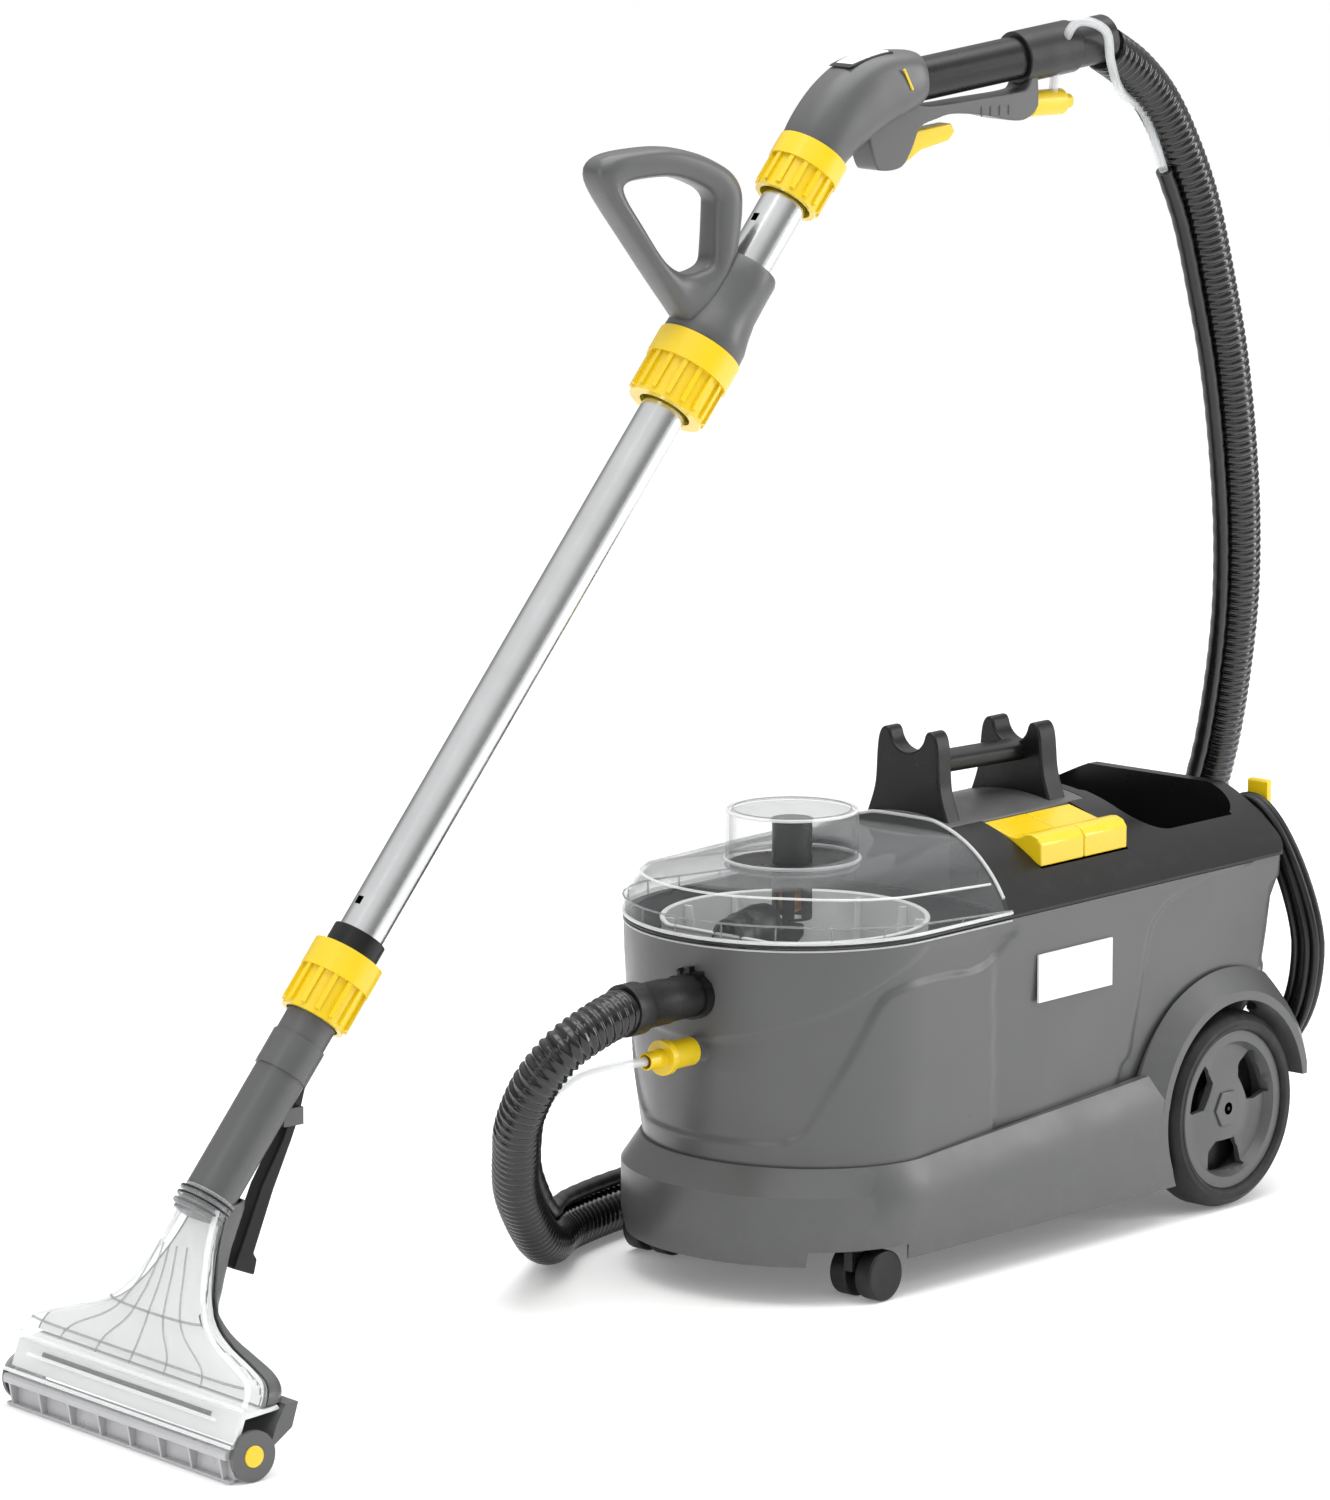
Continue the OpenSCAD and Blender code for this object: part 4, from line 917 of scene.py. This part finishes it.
# Rings on the dome: the white ones are painted highlights on its rims, the thin grey ones painted dark lines
# beside them.
ring("dome_top_rim", 54.6, 392.6, 1.4, "lid", "clear_plastic", finish="clear_painted_highlight")
ring("dome_top_line", 50, 394, 0.5, "lid", "clear_plastic", finish="clear_painted_dark_line")
ring("dome_foot", 57, 352, 1.6, "lid", "clear_plastic", finish="clear_painted_highlight")
ring("dome_foot_line", 56, 346, 0.9, "lid", "clear_plastic", finish="clear_painted_dark_line")
ring("cage_rim", 17, 384, 1.4, "lid", "black_plastic")
ELBOW = [(-99, 15), (-97, 19), (-84, 20), (-80, 18.5), (-76, 20), (-62, 20.5), (-50, 18), (-46, 13),
         (-45, 0.1)]
lathe("inlet_turn", [(r, h) for h, r in ELBOW], lambda x, y, h: at(h, -11 + x, 296 + y + (h + 95) * 0.16),
      "waste_tank", "black_plastic", smooth=50, steps=40)
for k, x in enumerate((-82, -68)):
    lathe("inlet_collar_%d" % (k + 1), [(17, -2), (20, -2), (20, 2), (17, 2), (17, -2)],
          lambda a, b, h, x=x: at(x + h, -11 + a, 296 + b + (x + 95) * 0.16), "waste_tank",
          "black_plastic", smooth=50, steps=40)
prism("inlet_chute", [(-66, -24), (-40, -20), (-22, -8), (-22, 2), (-44, 4), (-66, 2)],
      lambda a, t, b: at(a, t, b + 300), -30, 8, "waste_tank", "black_plastic", smooth=40, bevel=2)
for k in range(12):
    angle = math.radians(30 * k + 10)
    c, d = math.cos(angle), math.sin(angle)
    prism("tank_fin_%d" % (k + 1), [(92, 230), (108.6, 230), (108.6, 299), (101, 299)],
          lambda a, t, b, c=c, d=d: at(max(-93, a * c - t * d), a * d + t * c, b), -0.9, 0.9,
          "waste_tank", "white_plastic", smooth=40, bevel=0.4)
tank_rim = [at(max(-97, min(126, 112 * c)), 112 * d, 300.4) for c, d in arc(0, 0, 1, 0, 360, 72)]
rod("tank_rim_bead", tank_rim, 1.7, "white_plastic", "waste_tank")

# ---------- wheel caps, and painted shade: black discs behind the wheels' windows and black sheets in the wheel wells ---
RIM_FACE = 145.8
for side, name in ((-1, "near"), (1, "far")):
    def wheel_at(x, y, h, q=side):
        """Millimetres from the middle of the rim's face, h outwards."""
        return at(AXLE[0] + x, (RIM_FACE + h) * q, AXLE[1] + y)

    wheel = "rear_wheel_" + name
    prism("wheel_cap_" + name, [(17.5 * c, 17.5 * d) for c, d in arc(0, 0, 1, 0, 300, 5)],
          lambda a, t, b, w=wheel_at: w(a, b, t), -0.5, 2.2, wheel, "body_plastic", smooth=40, bevel=0.9,
          segments=3)
    lathe("wheel_cap_dot_" + name, [(0.1, 1), (1.7, 1), (1.7, 2.6), (0.1, 2.6)], wheel_at, wheel,
          "black_plastic", smooth=40, steps=16)
    # Painted shade: a black disc behind the rim's windows, where the wheel's inside lies in shadow.
    lathe("wheel_window_shade_" + name, [(19, -19), (58.5, -19), (58.5, -17.2), (19, -17.2), (19, -19)],
          wheel_at, wheel, "black_plastic", smooth=40)
    lathe("tyre_seam_" + name, [(69.9, 8.2), (71.4, 9.6), (72.8, 10.3), (74.6, 10.3), (74.6, 9.4),
                                (69.9, 7), (69.9, 8.2)], wheel_at, wheel, "tyre", smooth=60)
    # Painted shade: a black half ring over the upper wheel well, where it lies in shadow under the mudguard
    # and behind the tyre.
    prism("wheel_well_shade_" + name, arc(0, 0, 96, 12, 168, 24) + arc(0, 0, 20, 168, 12, 12),
          lambda a, t, b, w=wheel_at: w(a, b, t), -37, -35, "machine", "black_plastic", smooth=40)

# ---------- floor and light ----------
# Half the floor's width in metres.
FLOOR = 40
floor_mesh = bpy.data.meshes.new("floor")
corners = [(x * FLOOR, y * FLOOR, -0.0006) for x, y in ((-1, -1), (1, -1), (1, 1), (-1, 1))]
floor_mesh.from_pydata(corners, [], [(0, 1, 2, 3)])
floor = bpy.data.objects.new("floor", floor_mesh)
bpy.context.collection.objects.link(floor)
m, nodes, links, bsdf = material("pale_floor")
tone = ramp(nodes, links, noise(nodes, links, 0.6, 2), [(0.3, grey(0.93)), (0.7, grey(0.95))])
links.new(tone, bsdf.inputs["Base Color"])
bsdf.inputs["Roughness"].default_value = 0.7
bsdf.inputs["Specular IOR Level"].default_value = 0.2
bsdf.inputs["Emission Color"].default_value = (1, 1, 1, 1)
bsdf.inputs["Emission Strength"].default_value = 0.16
floor.data.materials.append(m)

world = bpy.data.worlds.new("studio")
world.use_nodes = True
nodes, links = world.node_tree.nodes, world.node_tree.links
direction = nodes.new("ShaderNodeTexCoord")
split = nodes.new("ShaderNodeSeparateXYZ")
links.new(direction.outputs["Generated"], split.inputs[0])
sky = ramp(nodes, links, split.outputs["Z"], [(0.0, grey(0.3)), (0.25, grey(0.36)), (0.6, grey(0.9)),
                                              (1.0, grey(1))])
links.new(sky, nodes["Background"].inputs["Color"])
nodes["Background"].inputs["Strength"].default_value = 1.1
bpy.context.scene.world = world
bpy.context.scene.view_settings.view_transform = "Standard"


def softbox(name, place, target, size, watts):
    """A rectangular lamp turned to its target."""
    lamp = bpy.data.lights.new(name, "AREA")
    lamp.shape = "RECTANGLE"
    lamp.size, lamp.size_y = size
    lamp.energy = watts
    obj = bpy.data.objects.new(name, lamp)
    bpy.context.collection.objects.link(obj)
    obj.location = place
    obj.rotation_euler = (Vector(target) - Vector(place)).to_track_quat("-Z", "Y").to_euler()


softbox("overhead", (0.3, -0.3, 3.4), (0, 0, 0), (3, 3), 85)
softbox("left", (-3.6, -0.4, 1.7), (0, 0, 0.35), (0.7, 2.6), 24)
softbox("right", (3.0, -3.0, 1.6), (0.2, 0, 0.3), (1.0, 2.4), 62)
